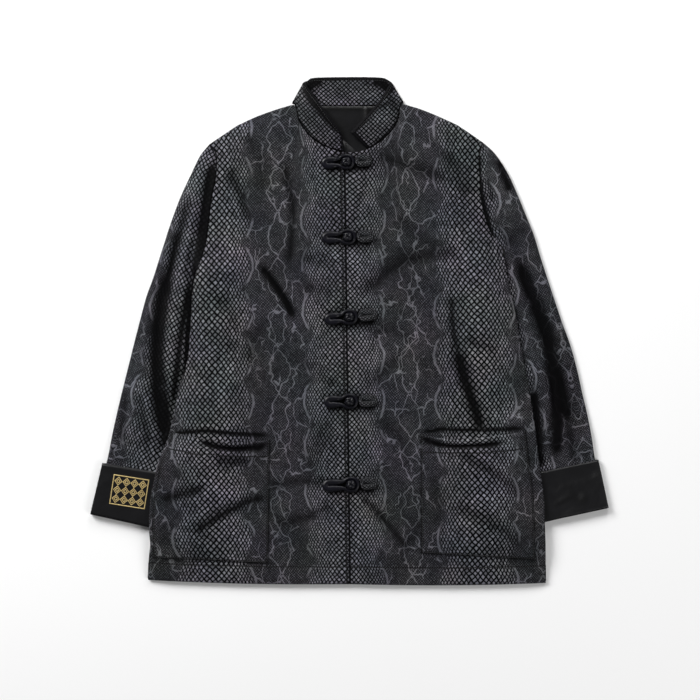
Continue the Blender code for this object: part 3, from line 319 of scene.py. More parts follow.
CORD_STEPS, CORD_SIDES, CORD_SMOOTHING = 96, 14, 3
CORD_THIN, CORD_SPREAD = 0.86, 0.6     # a narrow cord's share of the height; how far past it to probe
KNOT_LEADS, KNOT_BIGHTS, KNOT_SWING = 3, 4, 0.95
KNOT_CORD, KNOT_WEAVE, KNOT_STEPS, KNOT_SIDES = 0.24, 0.10, 180, 10
KNOT_FLAT, KNOT_DEEP = 1.25, 1.6       # the wound cord's flatness, and how deep the core lies, in cords
CORE_SIDES, CORE_ROWS = 20, 12
GOLD_PLACE, GOLD_ANGLE = (-329.0, -241.5), -9.0
GOLD_SIZE, GOLD_FRAME, GOLD_GAP = (54.0, 45.0), 1.6, 0.9
GOLD_CELLS, GOLD_NEST = (4, 3), (0.88, 0.42)
GOLD_BAR, GOLD_HIGH, GOLD_STEP = 1.15, 0.55, 1.5
GOLD_PLY = 0.00028                     # from one thread to the next, in metres
GOLD_SECTION = (-1.0, -0.85, -0.5, 0.0, 0.5, 0.85, 1.0)
GOLD_CLEAR, GOLD_FOOT, GOLD_SUNK = 0.05, 0.45, 0.3      # over the cloth; its sunk foot's reach and depth

# Stage, in metres; lens and sensor in mm. The lights' powers are settings.
FLOOR_Z, FLOOR_HALF = -0.0004, 4.0
CAMERA_OVER = (0.00075, -0.02875)
CAMERA_LENS, CAMERA_SENSOR = 85.0, 36.0
LIGHTS = {
    "key light": ((-2.0, 1.9, 1.9), 1.5),
    "fill light": ((2.2, -1.4, 1.9), 1.8),
    "top light": ((0.6, 2.8, 1.7), 1.5),
}

# Creases: half width, height (troughs below 0), how dark the painted shade is (below 0 a painted highlight
# on a ridge), and the line along each
FRONT_CREASES = [
    (6, -2.6, 0.5, ((-177, 253), (-174, 226), (-159, 196), (-148, 157))),
    (5.5, -2.4, 0.55, ((-98, 262), (-92, 228), (-83, 190), (-84, 150), (-87, 120), (-90, 88))),
    (5, -3.4, 0.95, ((-135, 101), (-111, 68), (-93, 41), (-80, 13))),
    (7, -1.6, 0.3, ((-122, 19), (-140, -17), (-152, -53))),
    (10, -3, 0.5, ((10, 46), (52, 82), (82, 103), (122, 113), (170, 115))),
    (9, -2.4, 0.45, ((26, 259), (76, 253), (112, 238), (152, 223))),
    (5, -1.4, 0.3, ((26, 229), (14, 188), (3, 151))),
    (5, -1.3, 0.25, ((-46, 203), (-28, 175), (-10, 152))),
    (5, -2.2, 0.6, ((153, 58), (156, 1), (164, -37), (176, -82))),
    (8, -3.6, 0.85, ((160, -22), (174, -77), (188, -116), (201, -158))),
    (8, -1.5, 0.3, ((20, 4), (62, -2), (100, -14))),
    (6, -1.5, 0.4, ((-130, -236), (-74, -227), (-20, -229))),
    (7, -1.6, 0.35, ((-118, -295), (-66, -283), (-16, -259))),
    (5, -2, 0.55, ((14, -242), (46, -277), (76, -314), (94, -335))),
    (8, -1.4, 0.3, ((114, -277), (84, -322), (74, -362))),
    (8, -1.4, 0.3, ((46, -134), (76, -164), (94, -209))),
    (9, -1.6, 0.3, ((-28, -134), (-44, -172), (-58, -209))),
    (7, -1.4, 0.3, ((-88, -37), (-51, -56), (-21, -92))),
    (7, -1.3, 0.3, ((84, -37), (54, -62), (20, -92))),
    (7, -1.8, 0.35, ((226, -32), (196, -22), (170, -11))),
    (10, -1.8, 0.35, ((69, 173), (106, 139), (136, 118))),
    (9, -1.8, 0.3, ((-216, 1), (-186, -22), (-164, -32))),
    (8, -1.6, 0.3, ((-201, 49), (-176, 28), (-170, -7))),
    (8, -1.6, 0.3, ((-74, 58), (-44, 61), (-20, 58))),
    (7, -1.4, 0.3, ((-74, 113), (-46, 103), (-16, 103))),
    (9, -1.8, 0.35, ((136, 271), (159, 248), (178, 196))),
    (9, -1.5, 0.3, ((-156, 301), (-130, 256), (-130, 203))),
    (26, 2.4, -0.28, ((-190, 103), (-164, 91))),
    (24, 2, -0.28, ((-190, -62), (-164, -86))),
    (24, 2.4, -0.28, ((170, 100), (202, 94))),
    (22, 2.6, -0.28, ((194, 19), (214, 31))),
    (16, 2.2, -0.28, ((238, -112), (250, -142))),
    (18, 1.4, -0.28, ((-74, -14), (-46, -22))),
    (18, 1.4, -0.28, ((46, -22), (76, -32))),
    (16, 1.2, -0.28, ((-28, 121), (-6, 113))),
    # A painted shadow round each frog, with no relief
    (10, 0, 0.9, ((-43.5, 249.5), (-6, 250), (37, 249.5))),
    (10, 0, 0.9, ((-43, 137), (-4, 137.5), (40, 137))),
    (10, 0, 0.9, ((-39.5, 17), (-1.5, 17.5), (45.5, 17))),
    (10, 0, 0.9, ((-40, -109), (-1, -108.5), (45, -109))),
    (10, 0, 0.9, ((-42, -233.5), (1, -233), (45, -233.5))),
    # A painted shadow along each pocket's mouth, with no relief
    (3.2, 0, 0.9, ((-276, -154), (-216, -150), (-164, -155), (-110, -158))),
    (3, 0, 0.85, ((98, -154), (136, -148), (196, -149), (274, -146))),
]
SLEEVE_CREASES = [
    (7.5, -3.2, 1.1, ((-201, 262), (-205, 240), (-210, 211), (-217, 158), (-227, 100), (-234, 66))),
    (4, -1, 0.9, ((-225, 103), (-238, 46), (-242, -7), (-244, -53), (-254, -92))),
    (6, -2.4, 0.75, ((-236, 211), (-248, 169), (-260, 124), (-272, 76), (-282, 37))),
    (10, -4.2, 0.98, (
        (-266, 103), (-280, 46), (-286, 1), (-288, -44), (-285, -92), (-278, -142), (-272, -182),
    )),
    (8, -3.6, 0.95, ((-284, -59), (-279, -104), (-273, -149), (-274, -187))),
    (4, -1.8, 0.85, ((-236, 88), (-244, 38), (-252, -7), (-258, -62), (-267, -122))),
    (8, 2.6, -0.28, ((-256, 68), (-266, 1), (-270, -74), (-272, -112))),
    (8, 1.8, -0.28, ((-238, 158), (-248, 91), (-254, 46))),
    (5, -1.2, 0.4, ((-332, -82), (-339, -127), (-342, -173))),
    (5, -1.4, 0.45, ((-316, -92), (-309, -134), (-298, -176))),
    (9, 1.8, -0.28, ((-322, -59), (-326, -119), (-322, -172))),
    (9, 2, -0.28, ((-304, 46), (-314, -29), (-316, -74))),
    (6, -1.2, 0.35, ((-298, 109), (-308, 46), (-320, -22))),
    (7, 1.6, -0.28, ((-224, 248), (-238, 196), (-260, 136))),
    (4, -1.4, 0.8, ((194, 277), (195, 233), (201, 191), (213, 146), (228, 112))),
    (5, -2.2, 0.8, ((224, 259), (231, 235), (243, 205))),
    (4, -1.4, 0.5, ((206, 229), (212, 211), (216, 191))),
    (9.5, -4.6, 1, ((248, 121), (262, 85), (280, 41), (296, -2), (306, -47), (318, -97), (334, -158))),
    (9, -3.6, 0.95, ((302, -29), (309, -82), (312, -134), (309, -197))),
    (6, -2.6, 0.93, ((276, -82), (280, -119), (285, -164), (288, -212))),
    (5, -1.2, 0.6, ((240, 46), (250, -14), (261, -71))),
    (6, -1.4, 0.5, ((324, -119), (333, -164), (338, -200))),
    (8, 2.4, -0.28, ((268, 103), (294, 46), (316, -14), (328, -74))),
    (9, 2.4, -0.28, ((256, 31), (272, -29), (284, -74))),
    (6, 1.6, -0.28, ((296, -82), (297, -149), (297, -197))),
    (8, 1.8, -0.28, ((346, -104), (358, -149), (364, -179))),
    (8, 1.8, -0.28, ((234, 173), (256, 143), (274, 103))),
    (7, -1.3, 0.35, ((264, 154), (249, 142), (236, 124))),
    (10, 2, -0.28, ((212, 256), (226, 196), (238, 158))),
]
CUFF_CREASES = [
    (6, 0.7, -0.2, ((-372, -221), (-300, -239))),
    (7, 0.6, -0.2, ((-240, -250), (-300, -262))),
    (6, 1, -0.3, ((376, -209), (316, -227), (296, -248))),
    (6, -0.9, 0.4, ((362, -254), (332, -251), (304, -266))),
    (7, 0.8, -0.3, ((300, -276), (330, -262), (350, -240))),
]
POCKET_CREASES = [
    (5.5, -3, 0.97, ((-226, -155), (-212, -164), (-194, -173), (-164, -178), (-136, -175), (-118, -164))),
    (9, -2.4, 0.75, ((-214, -167), (-176, -175), (-130, -173))),
    (5, 1.4, -0.28, ((-216, -182), (-171, -187), (-130, -182))),
    (9, -1.8, 0.5, ((-201, -188), (-178, -197), (-148, -194))),
    (7, -2, 0.6, ((-284, -254), (-250, -244), (-208, -233))),
    (6, -2.4, 0.65, ((-238, -305), (-190, -275), (-152, -256), (-118, -247))),
    (16, 1.8, -0.28, ((-178, -224), (-216, -254))),
    (10, -1.4, 0.3, ((-268, -284), (-276, -322))),
    (5, -3, 0.97, ((100, -154), (112, -161), (136, -169), (166, -172), (202, -170), (238, -164))),
    (5, 1.6, -0.28, ((118, -154), (142, -160), (176, -161))),
    (7, -1.6, 0.4, ((152, -182), (196, -200), (232, -224), (262, -254))),
    (8, -1.8, 0.4, ((152, -263), (194, -277), (230, -296), (262, -326))),
    (14, 1.6, -0.28, ((226, -164), (256, -173))),
    (14, 1.2, -0.28, ((182, -239), (226, -263))),
    (7, -1.2, 0.3, ((122, -209), (136, -254), (130, -299))),
]
# The collar's creases are painted shade only, with no relief: in its back corners, along its inner edges,
# and spread thinly over its right half and its back
COLLAR_CREASES = [
    (7, 0, 0.9, ((-38, 377), (-56, 370), (-68, 352))),
    (7, 0, 0.9, ((34, 376), (52, 370), (66, 355))),
    (5, 0, 0.8, ((-68, 364), (-58, 346), (-28, 310), (-6, 289))),
    (5, 0, 0.5, ((-84, 340), (-75, 313), (-52, 284), (-26, 268))),
    (5, 0, 0.5, ((81, 340), (76, 319), (58, 295), (34, 275))),
    (4, 0, 0.5, ((70, 346), (46, 337), (26, 319), (8, 296))),
    (5, 0, 0.5, ((56, 353), (70, 337), (74, 325))),
    (20, 0, 0.2, ((-72, 356), (-70, 330), (-50, 298), (-16, 270))),
    (20, 0, 0.16, ((-62, 374), (-20, 376), (20, 376), (62, 372))),
]
# The lining's creases are painted shade only, with no relief: along the pleats, down each side of the neck,
# and a painted shadow of the collar along its top
LINING_CREASES = [
    (3.5, 0, 0.7, ((26, 336), (30, 312), (35, 284))),
    (3, 0, 0.6, ((40, 334), (42, 310))),
    (7, 0, 0.6, ((-62, 350), (-30, 312), (-6, 290))),
    (7, 0, 0.6, ((62, 346), (34, 312), (8, 292))),
    (5, 0, 1, ((-62, 337), (62, 335))),
]

# Materials of snakeskin jacquard: first and second stitch line in mm, how strongly the first is
# pressed, width of the piping in metres, tone and figure
NO_LINE = 990.0        # past every edge distance that a mapped piece has
ALL_BAND = 400.0       # a band wider than the piece: scales all over
JACQUARDS = {
    "Back jacquard": (NO_LINE, NO_LINE, 1.0, 0.0, 1.0, {}),
    "Right front jacquard": (4.6, 25.0, 1.0, 0.0, 1.0, {}),
    "Left front jacquard": (NO_LINE, 25.0, 1.0, 0.0, 1.0, {}),
    "Pocket jacquard": (1.8, 24.0, 0.7, 0.0, 1.0, {}),
    "Sleeve jacquard": (0.4, NO_LINE, 1.0, 0.0, 1.0, {"Scale_width": 8.0, "Scale_length": 8.7}),
    "Collar jacquard": (
        3.6, 0.5, 1.0, 0.0024, 0.85,
        {"Band_half_width": ALL_BAND, "Scale_width": 6.8, "Scale_length": 7.2},
    ),
    "Cord jacquard": (
        NO_LINE, NO_LINE, 1.0, 0.0, 0.5,
        {"Band_half_width": ALL_BAND, "Scale_width": 4.2, "Scale_length": 4.6},
    ),
}

# Satins: colour, depth of the wrinkles, roughness and specular level
SATINS = {
    "Black satin": ("satin_colour", 0.28, 0.34, 0.25),
    "Lining satin": ("satin_colour", 0.25, 0.3, 0.3),
    "Cord satin": ("cord_colour", 0.35, 0.3, 0.25),
}

# Snakeskin figure, in mm: slow and small bends of the pattern (noise scale, reach), the ground's cells,
# and the mesh of the veins with the noise that bends it
SWAY, RIPPLE = (0.022, 5.0), (0.075, 4.5)
GRAIN_SIZE = (3.9, 4.1)
VEIN_SIZE, VEIN_BEND = (23.0, 44.0), (0.045, 34.0)


def smooth(t):
    """0 below 0, 1 above 1 and a soft step between."""
    t = min(max(t, 0.0), 1.0)
    return t * t * (3.0 - 2.0 * t)


def mix(a, b, t):
    return a + (b - a) * t


def mix_points(p, q, t):
    return tuple(mix(a, b, t) for a, b in zip(p, q))


def sign_of(side):
    """-1 on the wearer's right, +1 on the left."""
    return -1.0 if side == "right" else 1.0


def along(points, share):
    """The point at a share of a polyline's length."""
    lengths = [math.dist(p, q) for p, q in zip(points, points[1:])]
    wanted = min(max(share, 0.0), 1.0) * sum(lengths)
    for p, q, length in zip(points, points[1:], lengths):
        if wanted <= length or q is points[-1]:
            return mix_points(p, q, min(wanted / length, 1.0))
        wanted -= length


def spline_round(points, share):
    """The point at a share of a smooth closed curve that passes through the points."""
    count = len(points)
    i = min(int(share * count), count - 1)
    t = share * count - i
    near = (points[(i + step) % count] for step in (-1, 0, 1, 2))
    return tuple(
        0.5 * (2 * b + (c - a) * t + (2 * a - 5 * b + 4 * c - d) * t * t + (3 * b - a - 3 * c + d) * t ** 3)
        for a, b, c, d in zip(*near)
    )


def distance_to_line(x, y, points):
    """Shortest distance from a point to a polyline."""
    best = 1e9
    for (ax, ay), (bx, by) in zip(points, points[1:]):
        dx, dy = bx - ax, by - ay
        t = ((x - ax) * dx + (y - ay) * dy) / (dx * dx + dy * dy)
        t = min(max(t, 0.0), 1.0)
        best = min(best, math.hypot(x - ax - t * dx, y - ay - t * dy))
    return best


# Plan of the body

def level_value(k, column):
    return LEVELS[k][LEVEL_COLUMNS.index(column)]


def side_point(side, k):
    """The body's edge at a level: side seam, or armhole seam above the armpit."""
    return level_value(k, side + "_x"), level_value(k, side + "_y")


def centre_point(k):
    """The centre front line at a level."""
    middle = 0.5 * (level_value(k, "right_y") + level_value(k, "left_y"))
    low = 0.5 * (level_value(0, "right_y") + level_value(0, "left_y"))
    high = 0.5 * (level_value(TOP, "right_y") + level_value(TOP, "left_y"))
    share = (middle - low) / (high - low)
    return mix(CENTRE_BOTTOM_X, CENTRE_TOP_X, share), mix(LENGTH_BOTTOM, LENGTH_TOP, share)


def row_length(side, k):
    """Width of a front at a level."""
    return math.dist(side_point(side, k), centre_point(k))


def neck_share(side, k):
    """Share of a row from the centre front to the pocket's inner edge, and to the neck corner above."""
    pocket = POCKETS[side]
    up = (k - POCKET_BOTTOM_LEVEL) / (POCKET_TOP_LEVEL - POCKET_BOTTOM_LEVEL)
    inner = mix(pocket["inner_bottom"], pocket["inner_top"], min(max(up, 0.0), 1.0))
    share = inner / row_length(side, min(k, POCKET_TOP_LEVEL))
    return mix(share, NECK_SHARE, smooth((k - POCKET_TOP_LEVEL) / (TOP - POCKET_TOP_LEVEL)))


def row_bend(side, k):
    """How far a row's middle moves along Y, so that the rows follow the pocket's edges."""
    pocket = POCKETS[side]
    if k <= POCKET_BOTTOM_LEVEL:
        return pocket["bend_bottom"] * k / POCKET_BOTTOM_LEVEL
    if k <= POCKET_TOP_LEVEL:
        up = (k - POCKET_BOTTOM_LEVEL) / (POCKET_TOP_LEVEL - POCKET_BOTTOM_LEVEL)
        return mix(pocket["bend_bottom"], pocket["bend_top"], up)
    return pocket["bend_top"] * max(0.0, 1.0 - (k - POCKET_TOP_LEVEL) / 4.0)


def top_point(side, share, back=False):
    """The neckline and the shoulder line as one run, by share of the top row."""
    if share >= NECK_SHARE:
        return along(SHOULDER[side], (share - NECK_SHARE) / (1.0 - NECK_SHARE))
    if back:
        corner = NECKLINE[side][-1]
        x = mix(0.0, corner[0], share / NECK_SHARE)
        return x, corner[1] - BACK_NECK_DIP * math.cos(0.5 * math.pi * share / NECK_SHARE)
    return along(NECKLINE[side], share / NECK_SHARE)


def plan_point(side, k, share, back=False):
    """Plan of a body panel: share 0 is the centre front, 1 the side."""
    centre, edge = centre_point(k), side_point(side, k)
    if back:
        centre = (0.0, centre[1])
    x, y = mix_points(centre, edge, share)
    if not back:
        corner = neck_share(side, k)
        hump = share / corner if share < corner else (1.0 - share) / (1.0 - corner)
        y += row_bend(side, k) * hump
    y -= HEM_BOW * math.sin(math.pi * share) * max(0.0, 1.0 - k / 3.0)
    weight = (max(0.0, k - TOP_BLEND) / (TOP - TOP_BLEND)) ** 2
    if weight > 0.0:
        start = top_point(side, 0.0, back)
        end = top_point(side, 1.0, back)
        tx, ty = top_point(side, share, back)
        lx, ly = mix_points(start, end, share)
        x += weight * (tx - lx)
        y += weight * (ty - ly)
        if back:
            y += weight * (start[1] - centre_point(TOP)[1]) * (1.0 - share)
    return x, y


def sewn_edge(side):
    """The front's sewn edge: side seam, armhole and shoulder."""
    return [side_point(side, k) for k in range(TOP + 1)] + SHOULDER[side][-2::-1]


def back_under(k, away):
    """Height of the back's under face, by the distance from the side edge."""
    reach = level_value(k, "tuck") + TUCK_MARGIN + RAMP
    return level_value(k, "lift") * smooth((reach - away) / RAMP)


def front_columns(side, k):
    """Shares of the front's columns: up to the pocket, across it, and out to the side."""
    inner = neck_share(side, k)
    outer = inner + (1.0 - inner) * POCKETS[side]["outer"]
    shares = [inner * i / INNER_COLUMNS for i in range(INNER_COLUMNS + 1)]
    shares += [mix(inner, outer, i / POCKET_COLUMNS) for i in range(1, POCKET_COLUMNS + 1)]
    return shares + [mix(outer, 1.0, EDGE_COLUMN), 1.0]


def ring_line(outer, edge, inner):
    """Plan of a ring square across the sleeve, from the outer fold to the inner one."""
    line = [mix_points(outer, edge, share) for share in SLEEVE_SHARES]
    return line + [mix_points(edge, inner, i / TUCKED) for i in range(1, TUCKED + 1)]


def armhole_line(side):
    """Plan of the armhole seam from the shoulder tip to the armpit, a seam's gap outside the body."""
    seam = [side_point(side, k) for k in range(TOP, ARMPIT - 1, -1)]
    line = []
    for i, (x, y) in enumerate(seam):
        before, after = seam[max(i - 1, 0)], seam[min(i + 1, len(seam) - 1)]
        dx, dy = after[0] - before[0], after[1] - before[1]
        length = math.hypot(dx, dy)
        turn = -sign_of(side)
        line.append((x + turn * SEAM * dy / length, y - turn * SEAM * dx / length))
    return line


def sleeve_line(side, k):
    """Plan of the sleeve's ring k."""
    if k >= FAN:
        row = RINGS[side][k - FAN]
        return ring_line(row[0:2], row[2:4], row[4:6])
    first = armhole_line(side)
    last = sleeve_line(side, FAN)
    if k == 0:
        return first
    return turned_line(first, last, k / FAN, FAN_OUTER[side][k], FAN_INNER[side][k])


def turned_line(first, last, t, start, end):
    """A line between two others: each of its steps is turned and stretched from one to the other."""
    steps, reached = [], [0.0]
    for j in range(len(first) - 1):
        a = [q - p for p, q in zip(first[j], first[j + 1])]
        b = [q - p for p, q in zip(last[j], last[j + 1])]
        angle = math.atan2(a[1], a[0])
        turn = (math.atan2(b[1], b[0]) - angle + math.pi) % (2.0 * math.pi) - math.pi
        length = mix(math.hypot(*a), math.hypot(*b), t)
        angle += turn * (1.0 - (1.0 - t) ** FAN_EASE)
        steps.append((length * math.cos(angle), length * math.sin(angle)))
        reached.append(reached[-1] + length)
    down, up = [start], [end]
    for dx, dy in steps:
        down.append((down[-1][0] + dx, down[-1][1] + dy))
    for dx, dy in steps[::-1]:
        up.append((up[-1][0] - dx, up[-1][1] - dy))
    return [mix_points(p, q, smooth(r / reached[-1])) for p, q, r in zip(down, up[::-1], reached)]


def ring_count(side):
    """The number of a sleeve's rings."""
    return FAN + len(RINGS[side])


# Finer forms

def refined(grid, rows, columns):
    """A grid of values made finer by smooth curves through it, each way."""
    def finer(a, steps):
        ends = np.concatenate([2 * a[:1] - a[1:2], a, 2 * a[-1:] - a[-2:-1]])
        p0, p1, p2, p3 = ends[:-3], ends[1:-2], ends[2:-1], ends[3:]
        parts = []
        for i in range(steps):
            t = i / steps
            bend = (2 * p0 - 5 * p1 + 4 * p2 - p3) * t * t + (3 * p1 - p0 - 3 * p2 + p3) * t ** 3
            parts.append(0.5 * (2 * p1 + (p2 - p0) * t + bend))
        joined = np.stack(parts, axis=1).reshape((-1,) + a.shape[1:])
        return np.concatenate([joined, a[-1:]])

    grid = finer(np.asarray(grid, float), rows)
    return finer(grid.swapaxes(0, 1), columns).swapaxes(0, 1)


def soft_step(t):
    """The soft step of smooth(), for arrays."""
    t = np.clip(t, 0.0, 1.0)
    return t * t * (3.0 - 2.0 * t)


def pair(a, b):
    """Two grids of values as one grid of pairs."""
    return np.stack([a, b], axis=-1)


def lifted(grid, height):
    """A grid of points moved up."""
    out = grid.copy()
    out[..., 2] += height
    return out


def way_along(grid, axis=0):
    """How far each point lies from the first one, along a line or along each line of a grid."""
    steps = np.linalg.norm(np.diff(grid, axis=axis), axis=-1)
    return np.concatenate([np.zeros_like(steps.take([0], axis)), np.cumsum(steps, axis=axis)], axis=axis)


def creases(x, y, table):
    """Height of a table's ridges and troughs at arrays of points, and the shade and highlight painted along
    them.

    A crease's ends fade. A trough has raised lips and painted shade; a ridge has a painted highlight, so
    its darkness is below 0.
    """
    total, dark, light = np.zeros_like(x), np.zeros_like(x), np.zeros_like(x)
    for width, height, darkness, points in table:
        runs = [math.dist(p, q) for p, q in zip(points, points[1:])]
        whole, reached = sum(runs), 0.0
        nearest, place = np.full_like(x, 1e9), np.zeros_like(x)
        for (x1, y1), (x2, y2), run in zip(points, points[1:], runs):
            dx, dy = x2 - x1, y2 - y1
            t = np.clip(((x - x1) * dx + (y - y1) * dy) / (run * run), 0.0, 1.0)
            away = np.hypot(x - x1 - t * dx, y - y1 - t * dy)
            closer = away < nearest
            nearest = np.where(closer, away, nearest)
            place = np.where(closer, (reached + t * run) / whole, place)
            reached += run
        fade = soft_step(np.minimum(place, 1.0 - place) / CREASE_FADE + CREASE_TIP)
        part = np.exp(-((nearest / width) ** 2))
        if height < 0.0:
            part = part - CREASE_LIPS * np.exp(-(((nearest - LIP_AT * width) / (LIP_WIDE * width)) ** 2))
        total += height * fade * part
        # Painted shade along each crease, and a painted highlight along each ridge whose darkness is below
        # 0
        shown = fade * np.exp(-((nearest / (width * (DARK_TIP + DARK_GROWTH * fade))) ** 2))
        dark = np.maximum(dark, CREASE_DARK * darkness * shown)
        light = np.maximum(light, -darkness * shown)
    return total, np.minimum(dark, 1.0) - light


def rumple(x, y, seed=0.0):
    """Soft unevenness of laid cloth, in two sizes."""
    out = np.zeros_like(x)
    flat_x, flat_y, flat = x.ravel(), y.ravel(), out.ravel()
    for length, height in RUMPLE:
        for i in range(flat.size):
            flat[i] += height * noise.noise((flat_x[i] / length, flat_y[i] / length, seed))
    return flat.reshape(x.shape)


def make_mesh(name, points, faces, maps=None, shade=None):
    """A mesh object in metres from points in millimetres, closed and with its faces outwards."""
    mesh = bpy.data.meshes.new(name)
    points = (np.asarray(points, float) + (*LAYOUT_SHIFT, 0.0)) * MM
    mesh.from_pydata(points.tolist(), [], faces)
    bm = bmesh.new()
    bm.from_mesh(mesh)
    bmesh.ops.recalc_face_normals(bm, faces=bm.faces)
    bm.to_mesh(mesh)
    bm.free()
    corners = np.zeros(len(mesh.loops), np.int32)
    mesh.loops.foreach_get("vertex_index", corners)
    for label, values in (maps or {}).items():
        layer = mesh.uv_layers.new(name=label)
        layer.data.foreach_set("uv", np.asarray(values, float)[corners].ravel())
    # The shade painted in creases and the highlight painted on ridges, kept as a point attribute that the
    # materials multiply into the colour
    if shade is not None:
        values = np.asarray(shade, float).ravel()
        mesh.attributes.new("shade", "FLOAT", "POINT").data.foreach_set("value", values)
    mesh.shade_smooth()
    obj = bpy.data.objects.new(name, mesh)
    bpy.context.scene.collection.objects.link(obj)
    return obj


def cloth_wall(name, top, under, cloth_map, seam_map, shade=None):
    """A wall of cloth between two grids, with a rounded fold all round its rim."""
    rows, columns = top.shape[:2]
    rim = [(0, j) for j in range(columns)] + [(i, columns - 1) for i in range(1, rows)]
    rim += [(rows - 1, j) for j in range(columns - 2, -1, -1)] + [(i, 0) for i in range(rows - 2, 0, -1)]
    top, under = top.copy(), under.copy()
    at = np.array(rim)
    inner = np.stack([np.clip(at[:, 0], 1, rows - 2), np.clip(at[:, 1], 1, columns - 2)], axis=1)
    rim_top, rim_under = top[at[:, 0], at[:, 1]], under[at[:, 0], at[:, 1]]
    out = rim_top - top[inner[:, 0], inner[:, 1]]
    out /= np.maximum(np.linalg.norm(out, axis=1, keepdims=True), 1e-6)
    thick = np.linalg.norm(rim_top - rim_under, axis=1, keepdims=True)
    middle = 0.5 * (rim_top + rim_under) + out * thick * RIM_ROUND
    top[at[:, 0], at[:, 1]] = rim_top + (rim_under - rim_top) * RIM_DROP
    under[at[:, 0], at[:, 1]] = rim_under + (rim_top - rim_under) * RIM_DROP
    count = rows * columns
    index = np.arange(count).reshape(rows, columns)
    corners = [index[:-1, :-1], index[:-1, 1:], index[1:, 1:], index[1:, :-1]]
    quads = np.stack(corners, axis=-1).reshape(-1, 4)
    faces = quads.tolist() + (quads[:, ::-1] + count).tolist()
    edge = [int(index[i, j]) for i, j in rim]
    ring = [2 * count + i for i in range(len(rim))]
    for a, b, m, n in zip(edge, edge[1:] + edge[:1], ring, ring[1:] + ring[:1]):
        faces += [(b, a, m, n), (a + count, b + count, n, m)]
    points = np.concatenate([top.reshape(-1, 3), under.reshape(-1, 3), middle])

    def spread(grid):
        flat = grid.reshape(count, -1)
        return np.concatenate([flat, flat, flat[edge]])

    # No painted shade or highlight unless one is given
    shade = np.zeros((rows, columns)) if shade is None else shade
    maps = {"cloth": spread(cloth_map) * MM, "seams": spread(seam_map) * MM}
    return make_mesh(name, points, faces, maps, spread(shade))


def tube_skin(name, outers, inners, cloth_map, seam_map, shade):
    """A closed skin through rings: a flat tube's wall, outside and then inside."""
    rings = np.concatenate([outers, inners[::-1]])

    def both(grid):
        return np.concatenate([grid, grid[::-1]]).reshape(rings.shape[0] * rings.shape[1], -1)

    # The tube's painted shade and highlight go round with its rings, as the maps do
    maps = {"cloth": both(cloth_map) * MM, "seams": both(seam_map) * MM}
    return make_mesh(name, rings.reshape(-1, 3), closed_tube(rings), maps, both(shade))


def plain_maps(shape):
    """Seam distances far from any line."""
    return np.full((*shape, 2), NO_SEAM)


def trim_mesh(name, points, faces, cloth):
    """The mesh of a trim without seams."""
    maps = {"cloth": np.asarray(cloth) * MM, "seams": plain_maps((len(points),)) * MM}
    return make_mesh(name, points, faces, maps)


# Panels of the body

def front_form(side):
    """A front's upper face before folds: place, height, how far folds show and its least height."""
    form = []
    for k in range(TOP + 1):
        row = []
        for share in front_columns(side, k):
            x, y = plan_point(side, k, share)
            away = (1.0 - share) * row_length(side, k)
            edge = distance_to_line(x, y, sewn_edge(side))
            rise = 1.0 - (1.0 - min(edge / EDGE_ROUND, 1.0)) ** 2
            neck = 1.0 - smooth((distance_to_line(x, y, NECKLINE[side]) - NECK_FLAT) / NECK_BLEND)
            hem = mix(HEM_SHARE, 1.0, smooth((y - LENGTH_BOTTOM) / HEM_ZONE))
            from_centre = share * row_length(side, k)
            least = mix(CENTRE_LEAST, PANEL_LEAST, smooth((from_centre - CENTRE_FLAT) / CENTRE_BLEND))
            least = mix(least, NECK_AIR, neck) if from_centre < CENTRE_FLAT + 0.6 * CENTRE_BLEND else least
            seam = SEAM + level_value(k, "mouth")
            low = min(least, mix(seam, least, rise))
            air = max(mix(seam, mix(BODY_AIR, NECK_AIR, neck) * hem, rise), low)
            base = back_under(k, away) + CLOTH
            from_hem = y - plan_point(side, 0, share)[1]
            row.append((x, y, base + air, (1.0 - neck) * hem * rise, base + low, from_centre, from_hem))
        form.append(row)
    return form


def front_surface(side, depth):
    """The fine upper and under faces of a front, with its maps and the shade and highlight painted along
    its creases.
    """
    form = refined(front_form(side), LEVEL_STEPS, COLUMN_STEPS)
    x, y, z, gain, low, from_centre, from_hem = np.moveaxis(form, -1, 0)
    x = x + sign_of(side) * CENTRE_GAP * (from_centre < 1e-6)
    # Relief of the creases, and the shade and highlight painted along them, with the painted shadows round
    # the frogs and above the pockets
    folds, dark = creases(x, y, FRONT_CREASES)
    z = np.maximum(z + gain * (depth * folds + rumple(x, y, sign_of(side))), low)
    under = np.stack([x, y, z], axis=-1)
    thick = CLOTH + HEM_EXTRA * soft_step((HEM_LINE + 3.0 - from_hem) / HEM_STEP)
    seam_map = pair(from_centre, np.abs(from_hem))
    return lifted(under, thick), under, pair(sign_of(side) * from_centre, y), seam_map, dark


def back_surface():
    """The fine upper and under faces of the back."""
    under = []
    for k in range(TOP + 1):
        rows = {}
        for side in SIDES:
            length = row_length(side, k)
            tuck = level_value(k, "tuck") + TUCK_MARGIN
            aways = [tuck + step * RAMP for step in RAMP_STEPS] + [TUCK_STEP * tuck, 0.0]
            outer = [
                max(1.0 - away / length, NECK_SHARE + LEAST_SHARE * (i + 1)) for i, away in enumerate(aways)
            ]
            rows[side] = []
            for share in [0.0, 0.5 * NECK_SHARE, NECK_SHARE] + outer:
                x, y = plan_point(side, k, share, back=True)
                rows[side].append((x, y, back_under(k, (1.0 - share) * length)))
        under.append(rows["right"][::-1] + rows["left"][1:])
    under = refined(under, BACK_STEPS, BACK_STEPS)
    under[..., 2] = np.maximum(under[..., 2], 0.0)
    cloth_map = under[..., :2] + (BAND_HALF_SPACING, 0.0)
    from_hem = under[..., 1] - under[:1, :, 1]
    return lifted(under, CLOTH), under, cloth_map, pair(np.full_like(from_hem, NO_SEAM), from_hem)


# Sleeves and cuffs

